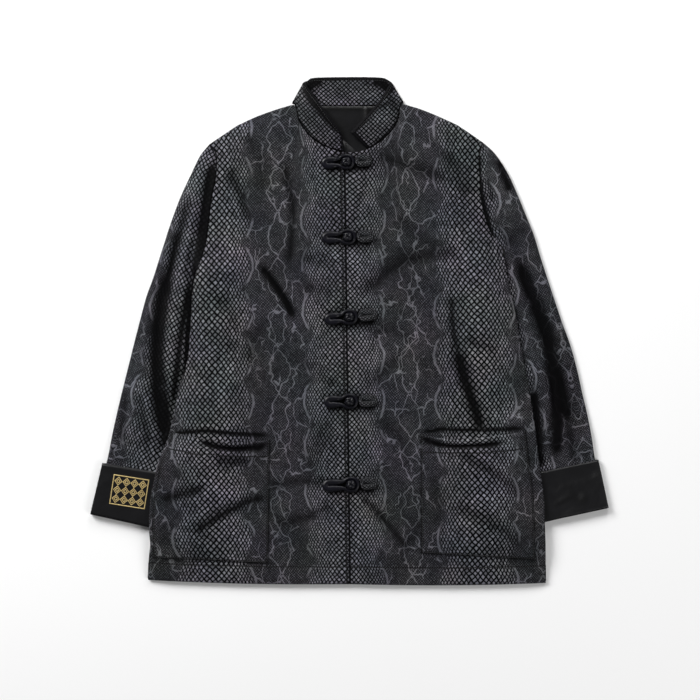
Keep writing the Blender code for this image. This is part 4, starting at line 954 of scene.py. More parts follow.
def tube_rings(lines, tops, lows, wall):
    """Outer and inner rings of a flat tube from its plan lines and heights, with the way round."""
    outers, inners, rounds = [], [], []
    for line, top, low in zip(lines, tops, lows):
        reached = way_along(line)
        length = reached[-1]

        def at(place, values):
            return np.stack([np.interp(place, reached, v) for v in values.T], axis=-1)

        places = wall + reached * (length - 2.0 * wall) / length
        inset = at(places, np.column_stack([line, top, low]))
        middle = 0.5 * (inset[:, 2] + inset[:, 3])
        in_top = np.maximum(inset[:, 2] - wall, middle + TUBE_HOLLOW)
        in_low = np.minimum(inset[:, 3] + wall, middle - TUBE_HOLLOW)
        first = (line[0] - line[1]) / np.linalg.norm(line[0] - line[1])
        last = (line[-1] - line[-2]) / np.linalg.norm(line[-1] - line[-2])

        def rounded(plan, direction, upper, lower, reach):
            """The fold at one end: three points round from the upper face to the lower."""
            return [
                (*(plan + direction * reach * out), mix(upper, lower, down)) for out, down in FOLD_ROUND
            ]

        outer = [(*p, z) for p, z in zip(line, top)]
        outer += rounded(line[-1], last, top[-1], low[-1], FOLD_POINT)
        outer += [(*p, z) for p, z in zip(line[::-1], low[::-1])]
        outer += rounded(line[0], first, low[0], top[0], FOLD_POINT)
        inner = [(*p[:2], z) for p, z in zip(inset, in_top)]
        inner += rounded(inset[-1, :2], last, in_top[-1], in_low[-1], INNER_FOLD * wall)
        inner += [(*p[:2], z) for p, z in zip(inset[::-1], in_low[::-1])]
        inner += rounded(inset[0, :2], first, in_low[0], in_top[0], INNER_FOLD * wall)
        outers.append(outer)
        inners.append(inner)
        rounds.append(np.concatenate([reached, [length] * 3, reached[::-1], [0.0] * 3]))
    return np.array(outers), np.array(inners), np.array(rounds)


def sleeve_form(side):
    """A sleeve's rings before folds: plan, top and low height, and how far folds show."""
    last = ring_count(side) - 1
    form = []
    for k in range(last + 1):
        line = sleeve_line(side, k)
        in_cuff = k > last - CUFF_RINGS
        row = []
        for j, (x, y) in enumerate(line):
            if k >= FAN:
                low = SLEEVE_RISE if in_cuff else 0.0
                top = low + (SLEEVE_END_PROFILE if in_cuff else SLEEVE_PROFILE)[j]
            else:
                level = TOP - j
                t = k / FAN
                seam_low = level_value(level, "lift")
                seam_top = seam_low + 2.0 * CLOTH + SEAM + level_value(level, "mouth")
                low = mix(seam_low, 0.0, 1.0 - (1.0 - t) ** 3)
                top = mix(seam_top, SLEEVE_PROFILE[j], smooth(1.6 * t))
                puff = HEAD_PUFF * math.sin(math.pi * t) if 0 < j < EDGE_POINT else 0.0
                top = max(top + puff, low + 2.0 * CLOTH + TUBE_LEAST)
            across = smooth(j / 1.5) * smooth((EDGE_POINT - j) / 1.2)
            row.append((x, y, top, low, 0.0 if in_cuff or k == 0 else across * min(1.0, k / 3.0)))
        form.append(row)
    return form


def sleeve_surface(side, depth):
    """Outer and inner rings of a sleeve with its folds, its maps, and the shade and highlight painted on
    its upper face.

    The pattern is laid on from above, square to the lower arm, so that it runs on over the folds.
    """
    form = refined(sleeve_form(side), RING_STEPS, RING_POINT_STEPS)
    x, y, top, low, gain = np.moveaxis(form, -1, 0)
    folds, dark = creases(x, y, SLEEVE_CREASES)
    top = top + gain * (depth * folds + rumple(x, y, 7.0 + sign_of(side)))
    low = np.maximum(low, 0.0)
    top = np.maximum(top, low + 2.0 * SLEEVE_WALL + TUBE_LEAST)
    lines = pair(x, y)
    outers, inners, rounds = tube_rings(lines, top, low, SLEEVE_WALL)
    half = lines.shape[1]
    middles = lines[:, half // 3]
    down = np.repeat(way_along(middles)[:, None], outers.shape[1], axis=1)
    way = middles[-1] - middles[FAN * RING_STEPS]
    way /= np.linalg.norm(way)
    square = sign_of(side) * np.array([way[1], -way[0]])
    plan = outers[..., :2] - lines[len(lines) // 2, 0]
    round_map = np.abs(plan @ square)
    round_map[:, half + 1 :] *= -1.0
    # Shade and highlight painted on the upper face only
    shade = np.zeros(rounds.shape)
    shade[:, :half] = dark
    cloth_map = pair(round_map - SLEEVE_BAND[side], -(plan @ way))
    return outers, inners, cloth_map, pair(down, np.full(rounds.shape, NO_SEAM)), shade


def cuff_surface(side):
    """The turned-back cuff: a flat tube round the sleeve's end, lipped in at its lower fold."""
    profile = np.array(SLEEVE_END_PROFILE) + SLEEVE_RISE
    covers = profile + CUFF_AIR + CUFF_CLOTH
    form = []
    for share in np.linspace(0.0, 1.0, CUFF_ROWS):
        row = mix_points(CUFFS[side]["top"], CUFFS[side]["bottom"], share)
        line = ring_line(row[0:2], row[2:4], row[4:6])
        form.append([(x, y, cover, 0.0) for (x, y), cover in zip(line, covers)])
    x, y, top, low = np.moveaxis(refined(form, CUFF_STEPS, RING_POINT_STEPS), -1, 0)
    folds, dark = creases(x, y, CUFF_CREASES)
    top = top + folds + 0.5 * rumple(x, y, 3.0)
    outers, inners, rounds = tube_rings(pair(x, y), top, np.maximum(low, 0.0), CUFF_CLOTH)
    ring = [(*p, h, SLEEVE_RISE) for p, h in zip(sleeve_line(side, ring_count(side) - 1), profile)]
    ring = refined([ring] * 2, 1, RING_POINT_STEPS)[0]
    slot_line, slot_top, slot_low = ring[:, :2], ring[:, 2], ring[:, 3]
    slot_in = tube_rings([slot_line], [slot_top], [slot_low], CLOTH)[1][0]
    grown = slot_line.copy()
    grown[0, 0] += sign_of(side) * 2.0 * CUFF_AIR
    grown[-1, 0] -= sign_of(side) * 2.0 * CUFF_AIR
    wide = tube_rings([grown], [slot_top + CUFF_AIR], [slot_low - CUFF_AIR], CUFF_CLOTH)[0][0]
    bottom, end = CUFFS[side]["bottom"], RINGS[side][-1]
    drop = 0.5 * (bottom[1] + bottom[3] - end[1] - end[3])
    far, near, wide = slot_in + (0, drop - CUFF_LIP, 0), slot_in - (0, CUFF_AIR, 0), wide - (0, CUFF_AIR, 0)
    keep = inners[: 2 * len(inners) // 3]
    rings = np.concatenate([outers, [far, near, wide], keep[::-1]])
    down = np.linspace(0.0, CUFF_DEPTH, len(outers))
    down = np.concatenate([down, [CUFF_DEPTH] * 3, np.linspace(CUFF_DEPTH, 0.0, len(keep))])
    round_map = np.concatenate([rounds, [rounds[-1]] * 3, rounds[: len(keep)][::-1]])
    down_map = np.repeat(down[:, None], rings.shape[1], axis=1)
    # Shade and highlight painted on the cuff's upper face
    shade = np.zeros(rings.shape[:2])
    shade[: len(outers), : top.shape[1]] = dark
    maps = {
        "cloth": pair(round_map, down_map).reshape(-1, 2) * MM,
        "seams": pair(np.full_like(round_map, NO_SEAM), down_map).reshape(-1, 2) * MM,
    }
    return rings.reshape(-1, 3), closed_tube(rings), maps, shade.ravel()


# Neck

def collar_surface():
    """The collar's outer and inner faces, with its maps and the shade painted on it."""
    coarse = []
    for row in COLLAR:
        lower, upper = np.array(row[0:3]), np.array(row[3:6])
        raised = smooth((row[2] - CROWN_FROM) / CROWN_BLEND)
        section = []
        for i in range(COLLAR_ROWS + 1):
            t = i / COLLAR_ROWS
            point = lower + (upper - lower) * t
            point[2] += COLLAR_CROWN * raised * math.sin(math.pi * t)
            section.append(point)
        coarse.append(section)
    middle = refined(coarse, COLLAR_STEPS, COLLAR_ROW_STEPS)
    normal = np.cross(np.gradient(middle, axis=1), np.gradient(middle, axis=0))
    normal /= np.linalg.norm(normal, axis=2, keepdims=True)
    length = way_along(middle[:, 0])
    height = way_along(middle, 1)
    from_free = height[:, -1:] - height
    from_end = np.minimum(length, length[-1] - length)[:, None]
    piping = sum(
        rise * np.exp(-((away - at) / width) ** 2)
        for away, (rise, at, width) in zip((from_free, height), COLLAR_PIPING)
    )
    wave = 0.5 * rumple(middle[..., 0], middle[..., 1], 11.0)
    half = (0.5 * COLLAR_CLOTH + piping)[..., None]
    middle[..., 2] += wave * soft_step((middle[..., 2] - 4.0) / 3.0)
    outside, inside = middle + normal * half, middle - normal * half
    for face in (outside, inside):
        face[..., 2] = np.maximum(face[..., 2], 0.0)
    x, y = middle[..., 0], middle[..., 1]
    seam_map = pair(np.minimum(from_free, from_end), height)
    # The collar's creases add no relief: only their painted shade is kept
    return outside, inside, pair(x, y + COLLAR_STRETCH * height), seam_map, creases(x, y, COLLAR_CREASES)[1]


def lining_surface():
    """The back's lining where it shows in the neck, with its ease pleats and the shade painted on it."""
    y = np.linspace(*LINING_Y, LINING_ROWS + 1)[:, None]
    across = np.linspace(0.0, 1.0, LINING_COLUMNS + 1)[None, :]
    t = soft_step(1.6 * (y - LINING_Y[0]) / (LINING_Y[1] - LINING_Y[0]))
    right = LINING_LOW_X[0] + (LINING_TOP_X[0] - LINING_LOW_X[0]) * t
    left = LINING_LOW_X[1] + (LINING_TOP_X[1] - LINING_LOW_X[1]) * t
    x = right + (left - right) * across
    y = y + 0.0 * x
    fade = soft_step((y - LINING_Y[0]) / LINING_FADE)
    z = CLOTH + SEAM + 0.0 * x
    for px, width, height in LINING_PLEATS:
        z = z + height * fade * np.exp(-((x - px) / width) ** 2)
    z = z + 0.35 * np.abs(rumple(x, y, 5.0))
    under = np.stack([x, y - LINING_INSET, z], axis=-1)
    # Painted shade along the pleats, and a painted shadow under the collar's edge
    return lifted(under, SATIN), under, pair(x, y), creases(x, y, LINING_CREASES)[1]


def underlap_surface():
    """The strip under the centre front, its slanted top end showing below the collar."""
    top = []
    for i in range(UNDERLAP_ROWS + 1):
        row = []
        for across in UNDERLAP_ACROSS:
            end_y = UNDERLAP_TIP_Y if across < 0.0 else UNDERLAP_SIDE_Y
            y = mix(LENGTH_BOTTOM + UNDERLAP_HEM, end_y, i / UNDERLAP_ROWS)
            share = (y - LENGTH_BOTTOM) / (LENGTH_TOP - LENGTH_BOTTOM)
            rise = (SATIN + SEAM) * smooth((y - LINING_Y[0] + UNDERLAP_CLIMB) / UNDERLAP_CLIMB_LENGTH)
            x = mix(CENTRE_BOTTOM_X, CENTRE_TOP_X, share) + across * UNDERLAP_HALF + UNDERLAP_ASIDE
            row.append((x, y, CLOTH + SEAM + rise))
        top.append(row)
    under = refined(top, 2, 3)
    return lifted(under, UNDERLAP_CLOTH), under, under[..., :2]


# Pockets

def pocket_surface(side, front_top, front_cloth_map, depth):
    """A patch pocket from the front's own fine points, moved out, its mouth a little open."""
    k = np.arange(POCKET_BOTTOM_LEVEL * LEVEL_STEPS, POCKET_TOP_LEVEL * LEVEL_STEPS + 1)
    j = np.arange(INNER_COLUMNS * COLUMN_STEPS, (INNER_COLUMNS + POCKET_COLUMNS) * COLUMN_STEPS + 1)
    base = front_top[np.ix_(k, j)].copy()
    level = (k / LEVEL_STEPS)[:, None]
    share = ((j / COLUMN_STEPS - INNER_COLUMNS) / POCKET_COLUMNS)[None, :]
    open_share = soft_step((level - POCKET_HEM_LEVEL + 1.6) / 2.6)
    body = np.sin(math.pi * (level - POCKET_BOTTOM_LEVEL) / (POCKET_TOP_LEVEL - POCKET_BOTTOM_LEVEL))
    across = np.sin(math.pi * share ** 0.8)
    x, y = base[..., 0], base[..., 1]
    lift = POCKET_AIR * across * body + POCKET_GAPE * across * open_share
    # Relief of the pocket's creases, and the shade and highlight painted along them
    folds, dark = creases(x, y, POCKET_CREASES)
    edge = soft_step(share / POCKET_EDGE) * soft_step((1.0 - share) / POCKET_EDGE)
    edge = edge * soft_step((level - POCKET_BOTTOM_LEVEL) / POCKET_LOW_EDGE)
    lift = np.maximum(lift + edge * depth * folds, 0.0) + 0.4 * edge * np.abs(rumple(x, y, 9.0))
    base[..., 2] += SEAM + lift
    base[..., 1] -= MOUTH_SAG * across * soft_step(level - POCKET_HEM_LEVEL)
    from_inner, from_bottom = way_along(base, 1), way_along(base)
    from_outer = from_inner[:, -1:] - from_inner
    from_mouth = from_bottom[-1:] - from_bottom
    nearest = np.minimum(np.minimum(from_inner, from_outer), from_bottom)
    cloth_map = front_cloth_map[np.ix_(k, j)] + POCKET_PATTERN_SHIFT[side]
    lip = soft_step(1.0 - from_mouth / POCKET_LIP_WIDE) * POCKET_LIP
    return lifted(base, POCKET_CLOTH + lip), base, cloth_map, pair(nearest, from_mouth), dark


# Frogs

def surface_finder(names):
    """A function that gives the height of some pieces' upper surface at a place, in mm."""
    trees = []
    for name in names:
        mesh = needed(name).data
        faces = [tuple(p.vertices) for p in mesh.polygons]
        trees.append(BVHTree.FromPolygons([v.co.copy() for v in mesh.vertices], faces))

    def height(x, y):
        above = Vector(((x + LAYOUT_SHIFT[0]) * MM, (y + LAYOUT_SHIFT[1]) * MM, 0.1))
        hits = [tree.ray_cast(above, Vector((0.0, 0.0, -1.0)))[0] for tree in trees]
        return max([hit.z / MM for hit in hits if hit is not None], default=0.0)

    return height


def height_under(height, x, y, reach):
    """The surface's greatest height at a place and round it."""
    return max(height(x + reach * a, y + reach * b) for a, b in PROBES)


def closed_tube(rings):
    """Faces of a tube whose rings meet again."""
    count, sides = len(rings), len(rings[0])
    return [
        tuple((k + a) % count * sides + (j + b) % sides for a, b in ((0, 0), (0, 1), (1, 1), (1, 0)))
        for k in range(count)
        for j in range(sides)
    ]


def turned(x, y, place):
    """A point of a frog's own plan, turned and moved to its place."""
    centre_x, centre_y, tilt = place
    c, s = math.cos(tilt), math.sin(tilt)
    return centre_x + x * c - y * s, centre_y + x * s + y * c


def cord_ring(name, half, place, height):
    """A doubled cord as one closed ring: half its middle line with widths, mirrored below."""
    line = half + [(x, -y, w) for x, y, w in half[-2:0:-1]]
    spots, bases, round_cord = [], [], 0.0
    for i in range(CORD_STEPS):
        x, y, width = spline_round(line, i / CORD_STEPS)
        ahead = spline_round(line, (i + 0.25) / CORD_STEPS)
        behind = spline_round(line, (i - 0.25) / CORD_STEPS % 1.0)
        tx, ty = ahead[0] - behind[0], ahead[1] - behind[1]
        length = math.hypot(tx, ty)
        wx, wy = turned(x, y, place)
        nx, ny = turned(ty / length, -tx / length, (0.0, 0.0, place[2]))
        spots.append((wx, wy, nx, ny, width))
        bases.append(height_under(height, wx, wy, 0.5 * width + CORD_SPREAD) + SEAM)
    bases = np.array(bases)
    for _ in range(CORD_SMOOTHING):
        bases = np.maximum(bases, 0.25 * np.roll(bases, 1) + 0.5 * bases + 0.25 * np.roll(bases, -1))
    rings, cloth = [], []
    turns = [2.0 * math.pi * (s + 0.25) / CORD_SIDES for s in range(CORD_SIDES)]
    for (wx, wy, nx, ny, width), base in zip(spots, bases):
        narrow = width < 0.5 * (CORD_WIDE + CORD_NARROW)
        thick = CORD_HIGH * (CORD_THIN if narrow else 1.0)
        if rings:
            round_cord += math.hypot(wx - last[0], wy - last[1])
        last = (wx, wy)
        ring = []
        for turn in turns:
            c, rise = math.cos(turn), 0.5 * thick * (1.0 + math.sin(turn))
            ring.append((wx + nx * 0.5 * width * c, wy + ny * 0.5 * width * c, base + rise))
            cloth.append((width * turn / 2.0, round_cord))
        rings.append(ring)
    return trim_mesh(name, [p for ring in rings for p in ring], closed_tube(rings), cloth)


def core_ball(radius):
    """Points and faces of the ball under a knot's cord, from pole to pole."""
    points = [(0.0, 0.0, -radius), (0.0, 0.0, radius)]
    for i in range(1, CORE_ROWS):
        lat = math.pi * (i / CORE_ROWS - 0.5)
        for j in range(CORE_SIDES):
            lon = 2.0 * math.pi * j / CORE_SIDES
            reach = radius * math.cos(lat)
            points.append((reach * math.cos(lon), reach * math.sin(lon), radius * math.sin(lat)))
    faces = []
    for j in range(CORE_SIDES):
        here, after = 2 + j, 2 + (j + 1) % CORE_SIDES
        faces.append((0, after, here))
        for _ in range(CORE_ROWS - 2):
            faces.append((here, after, after + CORE_SIDES, here + CORE_SIDES))
            here, after = here + CORE_SIDES, after + CORE_SIDES
        faces.append((1, here, after))
    return points, faces


def ball_knot(name, place, height):
    """A ball knot: one cord wound over and under itself round a core."""
    x, y = turned(KNOT_CENTRE, 0.0, place)
    base = height_under(height, x, y, KNOT_RADII[0] - 0.5) + SEAM
    radii = np.array(KNOT_RADII)

    def wound(t):
        lon, lat = KNOT_LEADS * t, KNOT_SWING * math.cos(KNOT_BIGHTS * t)
        reach = 1.0 - KNOT_CORD + KNOT_WEAVE * math.sin(2 * KNOT_BIGHTS * t)
        ball = np.array([math.cos(lat) * math.cos(lon), math.cos(lat) * math.sin(lon), math.sin(lat)])
        return ball * reach

    rings = []
    for i in range(KNOT_STEPS):
        t = 2.0 * math.pi * i / KNOT_STEPS
        here, tangent = wound(t), wound(t + 0.01) - wound(t - 0.01)
        out = here / np.linalg.norm(here)
        side = np.cross(tangent, out)
        side /= np.linalg.norm(side)
        up = np.cross(side, tangent)
        up /= np.linalg.norm(up)
        turns = [2.0 * math.pi * s / KNOT_SIDES for s in range(KNOT_SIDES)]
        rings.append([
            here + KNOT_CORD * (KNOT_FLAT * math.cos(a) * side + math.sin(a) * up) for a in turns
        ])
    points = [p for ring in rings for p in ring]
    core, core_faces = core_ball(1.0 - KNOT_DEEP * KNOT_CORD)
    faces = closed_tube(rings) + [tuple(len(points) + i for i in face) for face in core_faces]
    points = np.array(points + core) * radii
    laid = np.column_stack([
        *turned(points[:, 0], points[:, 1], (x, y, place[2])), base + radii[2] + points[:, 2],
    ])
    return trim_mesh(name, laid, faces, laid[:, :2])


def frog_lines(row):
    """The half lines of a frog's loop wing and of its knot wing."""
    outer = -(row[2] - 0.5 * CORD_WIDE)
    loop = [
        (outer, 0.0, CORD_WIDE), (outer + 1.4, 3.0, CORD_WIDE), (outer + 5.0, CORD_OFFSET, CORD_WIDE),
        (0.5 * (outer - 12.0), CORD_OFFSET, CORD_WIDE), (-14.0, CORD_OFFSET, 6.6),
        (-9.0, 5.4, 5.0), (-4.5, 8.0, CORD_NARROW), (1.0, 9.4, CORD_NARROW),
        (7.2, 8.3, CORD_NARROW), (11.0, 4.8, CORD_NARROW), (LOOP_END, 0.0, CORD_NARROW),
    ]
    end = row[3] - 0.5 * CORD_WIDE
    stem = [
        (STEM_START, 0.0, 6.6), (STEM_START + 1.3, 3.0, 6.6), (STEM_START + 4.6, CORD_OFFSET, CORD_WIDE),
        (end - 5.0, CORD_OFFSET, CORD_WIDE), (end - 1.4, 3.0, CORD_WIDE), (end, 0.0, CORD_WIDE),
    ]
    return loop, stem


# Embroidery and stitching

def gold_paths():
    """The embroidered block: rows of nested lozenges in a frame, each a closed line and its width."""
    half_x, half_y = 0.5 * GOLD_SIZE[0], 0.5 * GOLD_SIZE[1]
    edge = 0.5 * GOLD_FRAME
    frame_line = [(-half_x + edge, -half_y + edge), (half_x - edge, -half_y + edge)]
    frame_line += [(half_x - edge, half_y - edge), (-half_x + edge, half_y - edge)]
    paths = [(frame_line, GOLD_FRAME)]
    inner_x, inner_y = half_x - GOLD_FRAME - GOLD_GAP, half_y - GOLD_FRAME - GOLD_GAP
    cell_x, cell_y = inner_x / GOLD_CELLS[0], inner_y / GOLD_CELLS[1]
    for i in range(GOLD_CELLS[0]):
        for j in range(GOLD_CELLS[1]):
            x, y = (2 * i + 1) * cell_x - inner_x, (2 * j + 1) * cell_y - inner_y
            for share in GOLD_NEST:
                a, b = cell_x * share, cell_y * share
                paths.append(([(x - a, y), (x, y - b), (x + a, y), (x, y + b)], GOLD_BAR))
    return paths


def stepped(points, step):
    """A closed line through the points with more points between, its corners kept."""
    line = []
    for p, q in zip(points, points[1:] + points[:1]):
        count = max(1, round(math.dist(p, q) / step))
        line += [mix_points(p, q, i / count) for i in range(count)]
    return line


def gold_bar(points, width, height):
    """Points, faces and map of one closed bar of raised thread, mitred at its corners."""
    line = stepped(points, GOLD_STEP)
    place = (*GOLD_PLACE, math.radians(GOLD_ANGLE))
    section = [(s, 0.5 * s, GOLD_HIGH * (1.0 - s ** 4) + GOLD_CLEAR) for s in GOLD_SECTION]
    section += [(s, GOLD_FOOT * s, -GOLD_SUNK) for s in (1.0, -1.0)]
    rings, reached, run = [], 0.0, []
    for i, here in enumerate(line):
        before, after = line[i - 1], line[(i + 1) % len(line)]
        a = Vector((here[0] - before[0], here[1] - before[1])).normalized()
        b = Vector((after[0] - here[0], after[1] - here[1])).normalized()
        n = Vector((-a.y - b.y, a.x + b.x))
        n /= 1.0 + a.dot(b)
        reached += math.dist(before, here) if i else 0.0
        ring = []
        for s, out, rise in section:
            x, y = turned(here[0] + n.x * out * width, here[1] + n.y * out * width, place)
            ring.append((x, y, height(x, y) + rise))
            run.append((s * 0.5 * width, reached))
        rings.append(ring)
    return [p for ring in rings for p in ring], closed_tube(rings), run


def line_where(top, values, wanted):
    """The points of each row of a grid where its rising values reach the one wanted."""
    return np.array([[np.interp(wanted, v, p) for p in row.T] for row, v in zip(top, values)])


def stitch_runs(depth):
    """Lines of topstitching on the cloth: lists of points in mm."""
    runs = []
    for side in SIDES:
        top, _, cloth_map, seams, _ = front_surface(side, depth)
        last = (len(top) - 1) * (TOP - 1) // TOP
        if side == "right":
            runs.append(line_where(top[:last], seams[:last, :, 0], CENTRE_LINE))
        runs.append(line_where(top.swapaxes(0, 1), seams[..., 1].T, HEM_LINE)[3:-2])
        pocket = pocket_surface(side, top, cloth_map, depth)
        face, nearest, mouth = pocket[0], pocket[3][..., 0], pocket[3][..., 1]
        half = face.shape[1] // 2
        inner = line_where(face[1:, :half], nearest[1:, :half], POCKET_LINE)
        outer = line_where(face[1:, :half:-1], nearest[1:, :half:-1], POCKET_LINE)
        rows = len(face) // 2
        bottom = line_where(face[:rows, 1:-1].swapaxes(0, 1), nearest[:rows, 1:-1].T, POCKET_LINE)
        runs.append(np.concatenate([inner[::-1], bottom, outer]))
        runs.append(line_where(face[::-1, 1:-1].swapaxes(0, 1), mouth[::-1, 1:-1].T, POCKET_HEM_LINE))
    outside, inside, _, seams, _ = collar_surface()
    band = slice(COLLAR_STEPS, -COLLAR_STEPS)
    for face in (outside, inside):
        runs.append(line_where(face[band, ::-1], seams[band, ::-1, 0], COLLAR_LINE))
    return runs


def stitch_tree():
    """Geometry Nodes that set stitches along the lines of a mesh."""
    tree = bpy.data.node_groups.new("Running stitch", "GeometryNodeTree")
    face = tree.interface
    face.new_socket(name="Lines", in_out="INPUT", socket_type="NodeSocketGeometry")
    for label in ("Stitch length", "Stitch width", "Stitch height", "Pitch"):
        face.new_socket(name=label, in_out="INPUT", socket_type="NodeSocketFloat").subtype = "DISTANCE"
    face.new_socket(name="Material", in_out="INPUT", socket_type="NodeSocketMaterial")
    face.new_socket(name="Stitches", in_out="OUTPUT", socket_type="NodeSocketGeometry")
    wires = Wires(tree)
    given = wires.node("NodeGroupInput").outputs
    curve = wires.node("GeometryNodeMeshToCurve", given["Lines"]).outputs[0]
    points = wires.node("GeometryNodeCurveToPoints", mode="LENGTH")
    wires.put(points.inputs["Curve"], curve)
    wires.put(points.inputs["Length"], given["Pitch"])
    turn = wires.node("FunctionNodeAlignRotationToVector", axis="X")
    wires.put(turn.inputs["Vector"], points.outputs["Tangent"])
    ball = wires.node("GeometryNodeMeshUVSphere", 8, 5, 0.5).outputs["Mesh"]
    size = wires.joined(*(given["Stitch " + part] for part in ("length", "width", "height")))
    placed = wires.node("GeometryNodeInstanceOnPoints")
    for label, value in (
        ("Points", points.outputs["Points"]), ("Instance", ball),
        ("Rotation", turn.outputs["Rotation"]), ("Scale", size),
    ):
        wires.put(placed.inputs[label], value)
    smooth_faces = wires.node("GeometryNodeSetShadeSmooth", placed.outputs[0]).outputs[0]
    real = wires.node("GeometryNodeRealizeInstances", smooth_faces).outputs[0]
    painted = wires.node("GeometryNodeSetMaterial")
    wires.put(painted.inputs["Geometry"], real)
    wires.put(painted.inputs["Material"], given["Material"])
    wires.node("NodeGroupOutput", painted.outputs[0])
    return tree


# Materials

class Wires:
    """Adds nodes to a tree, each with its values or links, in one call."""

    def __init__(self, tree):
        self.tree = tree

    def node(self, kind, *values, **settings):
        node = self.tree.nodes.new(kind)
        for key, value in settings.items():
            setattr(node, key, value)
        for socket, value in zip(node.inputs, values):
            self.put(socket, value)
        return node

    def put(self, socket, value):
        if isinstance(value, bpy.types.NodeSocket):
            self.tree.links.new(value, socket)
        elif value is not None:
            socket.default_value = value

    def maths(self, operation, *values):
        return self.node("ShaderNodeMath", *values, operation=operation).outputs[0]

    def add(self, *values):
        return self.maths("ADD", *values)

    def less(self, *values):
        return self.maths("SUBTRACT", *values)

    def times(self, *values):
        return self.maths("MULTIPLY", *values)

    def over(self, *values):
        return self.maths("DIVIDE", *values)

    def linear(self, value, factor, added):
        return self.maths("MULTIPLY_ADD", value, factor, added)

    def size(self, value):
        return self.maths("ABSOLUTE", value)

    def least(self, *values):
        return self.maths("MINIMUM", *values)

    def most(self, *values):
        return self.maths("MAXIMUM", *values)

    def fold(self, value, length):
        return self.maths("PINGPONG", value, length)

    def split(self, vector):
        return self.node("ShaderNodeSeparateXYZ", vector).outputs

    def joined(self, *values):
        return self.node("ShaderNodeCombineXYZ", *values).outputs[0]

    def uv(self, name):
        return self.node("ShaderNodeUVMap", uv_map=name).outputs[0]

    def place(self):
        """The place on the object, in metres."""
        return self.node("ShaderNodeTexCoord").outputs["Object"]

    def unshaded(self, factor):
        """1 where no shade is painted; lower along the shade painted in creases, and above 1 along the
        highlight painted on ridges.
        """
        shade = self.node("ShaderNodeAttribute", attribute_name="shade").outputs["Fac"]
        return self.linear(shade, -factor, 1.0)

    def step(self, value, low, high, at_low=0.0, at_high=1.0):
        """A soft step of a value between two others."""
        ends = (value, low, high, at_low, at_high)
        return self.node("ShaderNodeMapRange", *ends, interpolation_type="SMOOTHSTEP").outputs[0]

    def mixed(self, share, a, b):
        node = self.node("ShaderNodeMix", data_type="RGBA")
        for index, value in ((0, share), (6, a), (7, b)):
            self.put(node.inputs[index], value)
        return node.outputs[2]

    def blended(self, share, a, b):
        return self.node("ShaderNodeMix", share, None, a, b, data_type="FLOAT").outputs[0]

    def noise(self, vector, scale, detail=2.0, dimensions="3D"):
        node = self.node("ShaderNodeTexNoise", noise_dimensions=dimensions)
        for label, value in (("Vector", vector), ("Scale", scale), ("Detail", detail)):
            self.put(node.inputs[label], value)
        return node.outputs

    def scaled(self, vector, factor):
        node = self.node("ShaderNodeVectorMath", vector, operation="SCALE")
        self.put(node.inputs["Scale"], factor)
        return node.outputs[0]


def new_group(name, inputs, outputs):
    """A shader group with its named inputs (name, kind, default) and outputs (name, kind)."""
    tree = bpy.data.node_groups.new(name, "ShaderNodeTree")
    for label, kind, default in inputs:
        socket = tree.interface.new_socket(name=label, in_out="INPUT", socket_type="NodeSocket" + kind)
        if default is not None:
            socket.default_value = default
    for label, kind in outputs:
        tree.interface.new_socket(name=label, in_out="OUTPUT", socket_type="NodeSocket" + kind)
    wires = Wires(tree)
    return wires, wires.node("NodeGroupInput").outputs, wires.node("NodeGroupOutput").inputs


def group_node(wires, name, **values):
    """Outputs of a node that uses a group, its inputs named with _ for each space."""
    node = wires.node("ShaderNodeGroup", node_tree=bpy.data.node_groups[name])
    for label, value in values.items():
        wires.put(node.inputs[label.replace("_", " ")], value)
    return node.outputs


def lattice(w, u, v, width, length):
    """Diamond cells: distance to the nearest line, 0 to 0.5, and the cell's number each way."""
    across, down = w.over(u, width), w.over(v, length)
    p, q = w.add(across, down), w.less(across, down)
    edge = w.least(w.fold(p, 0.5), w.fold(q, 0.5))
    return edge, w.maths("FLOOR", p), w.maths("FLOOR", q)


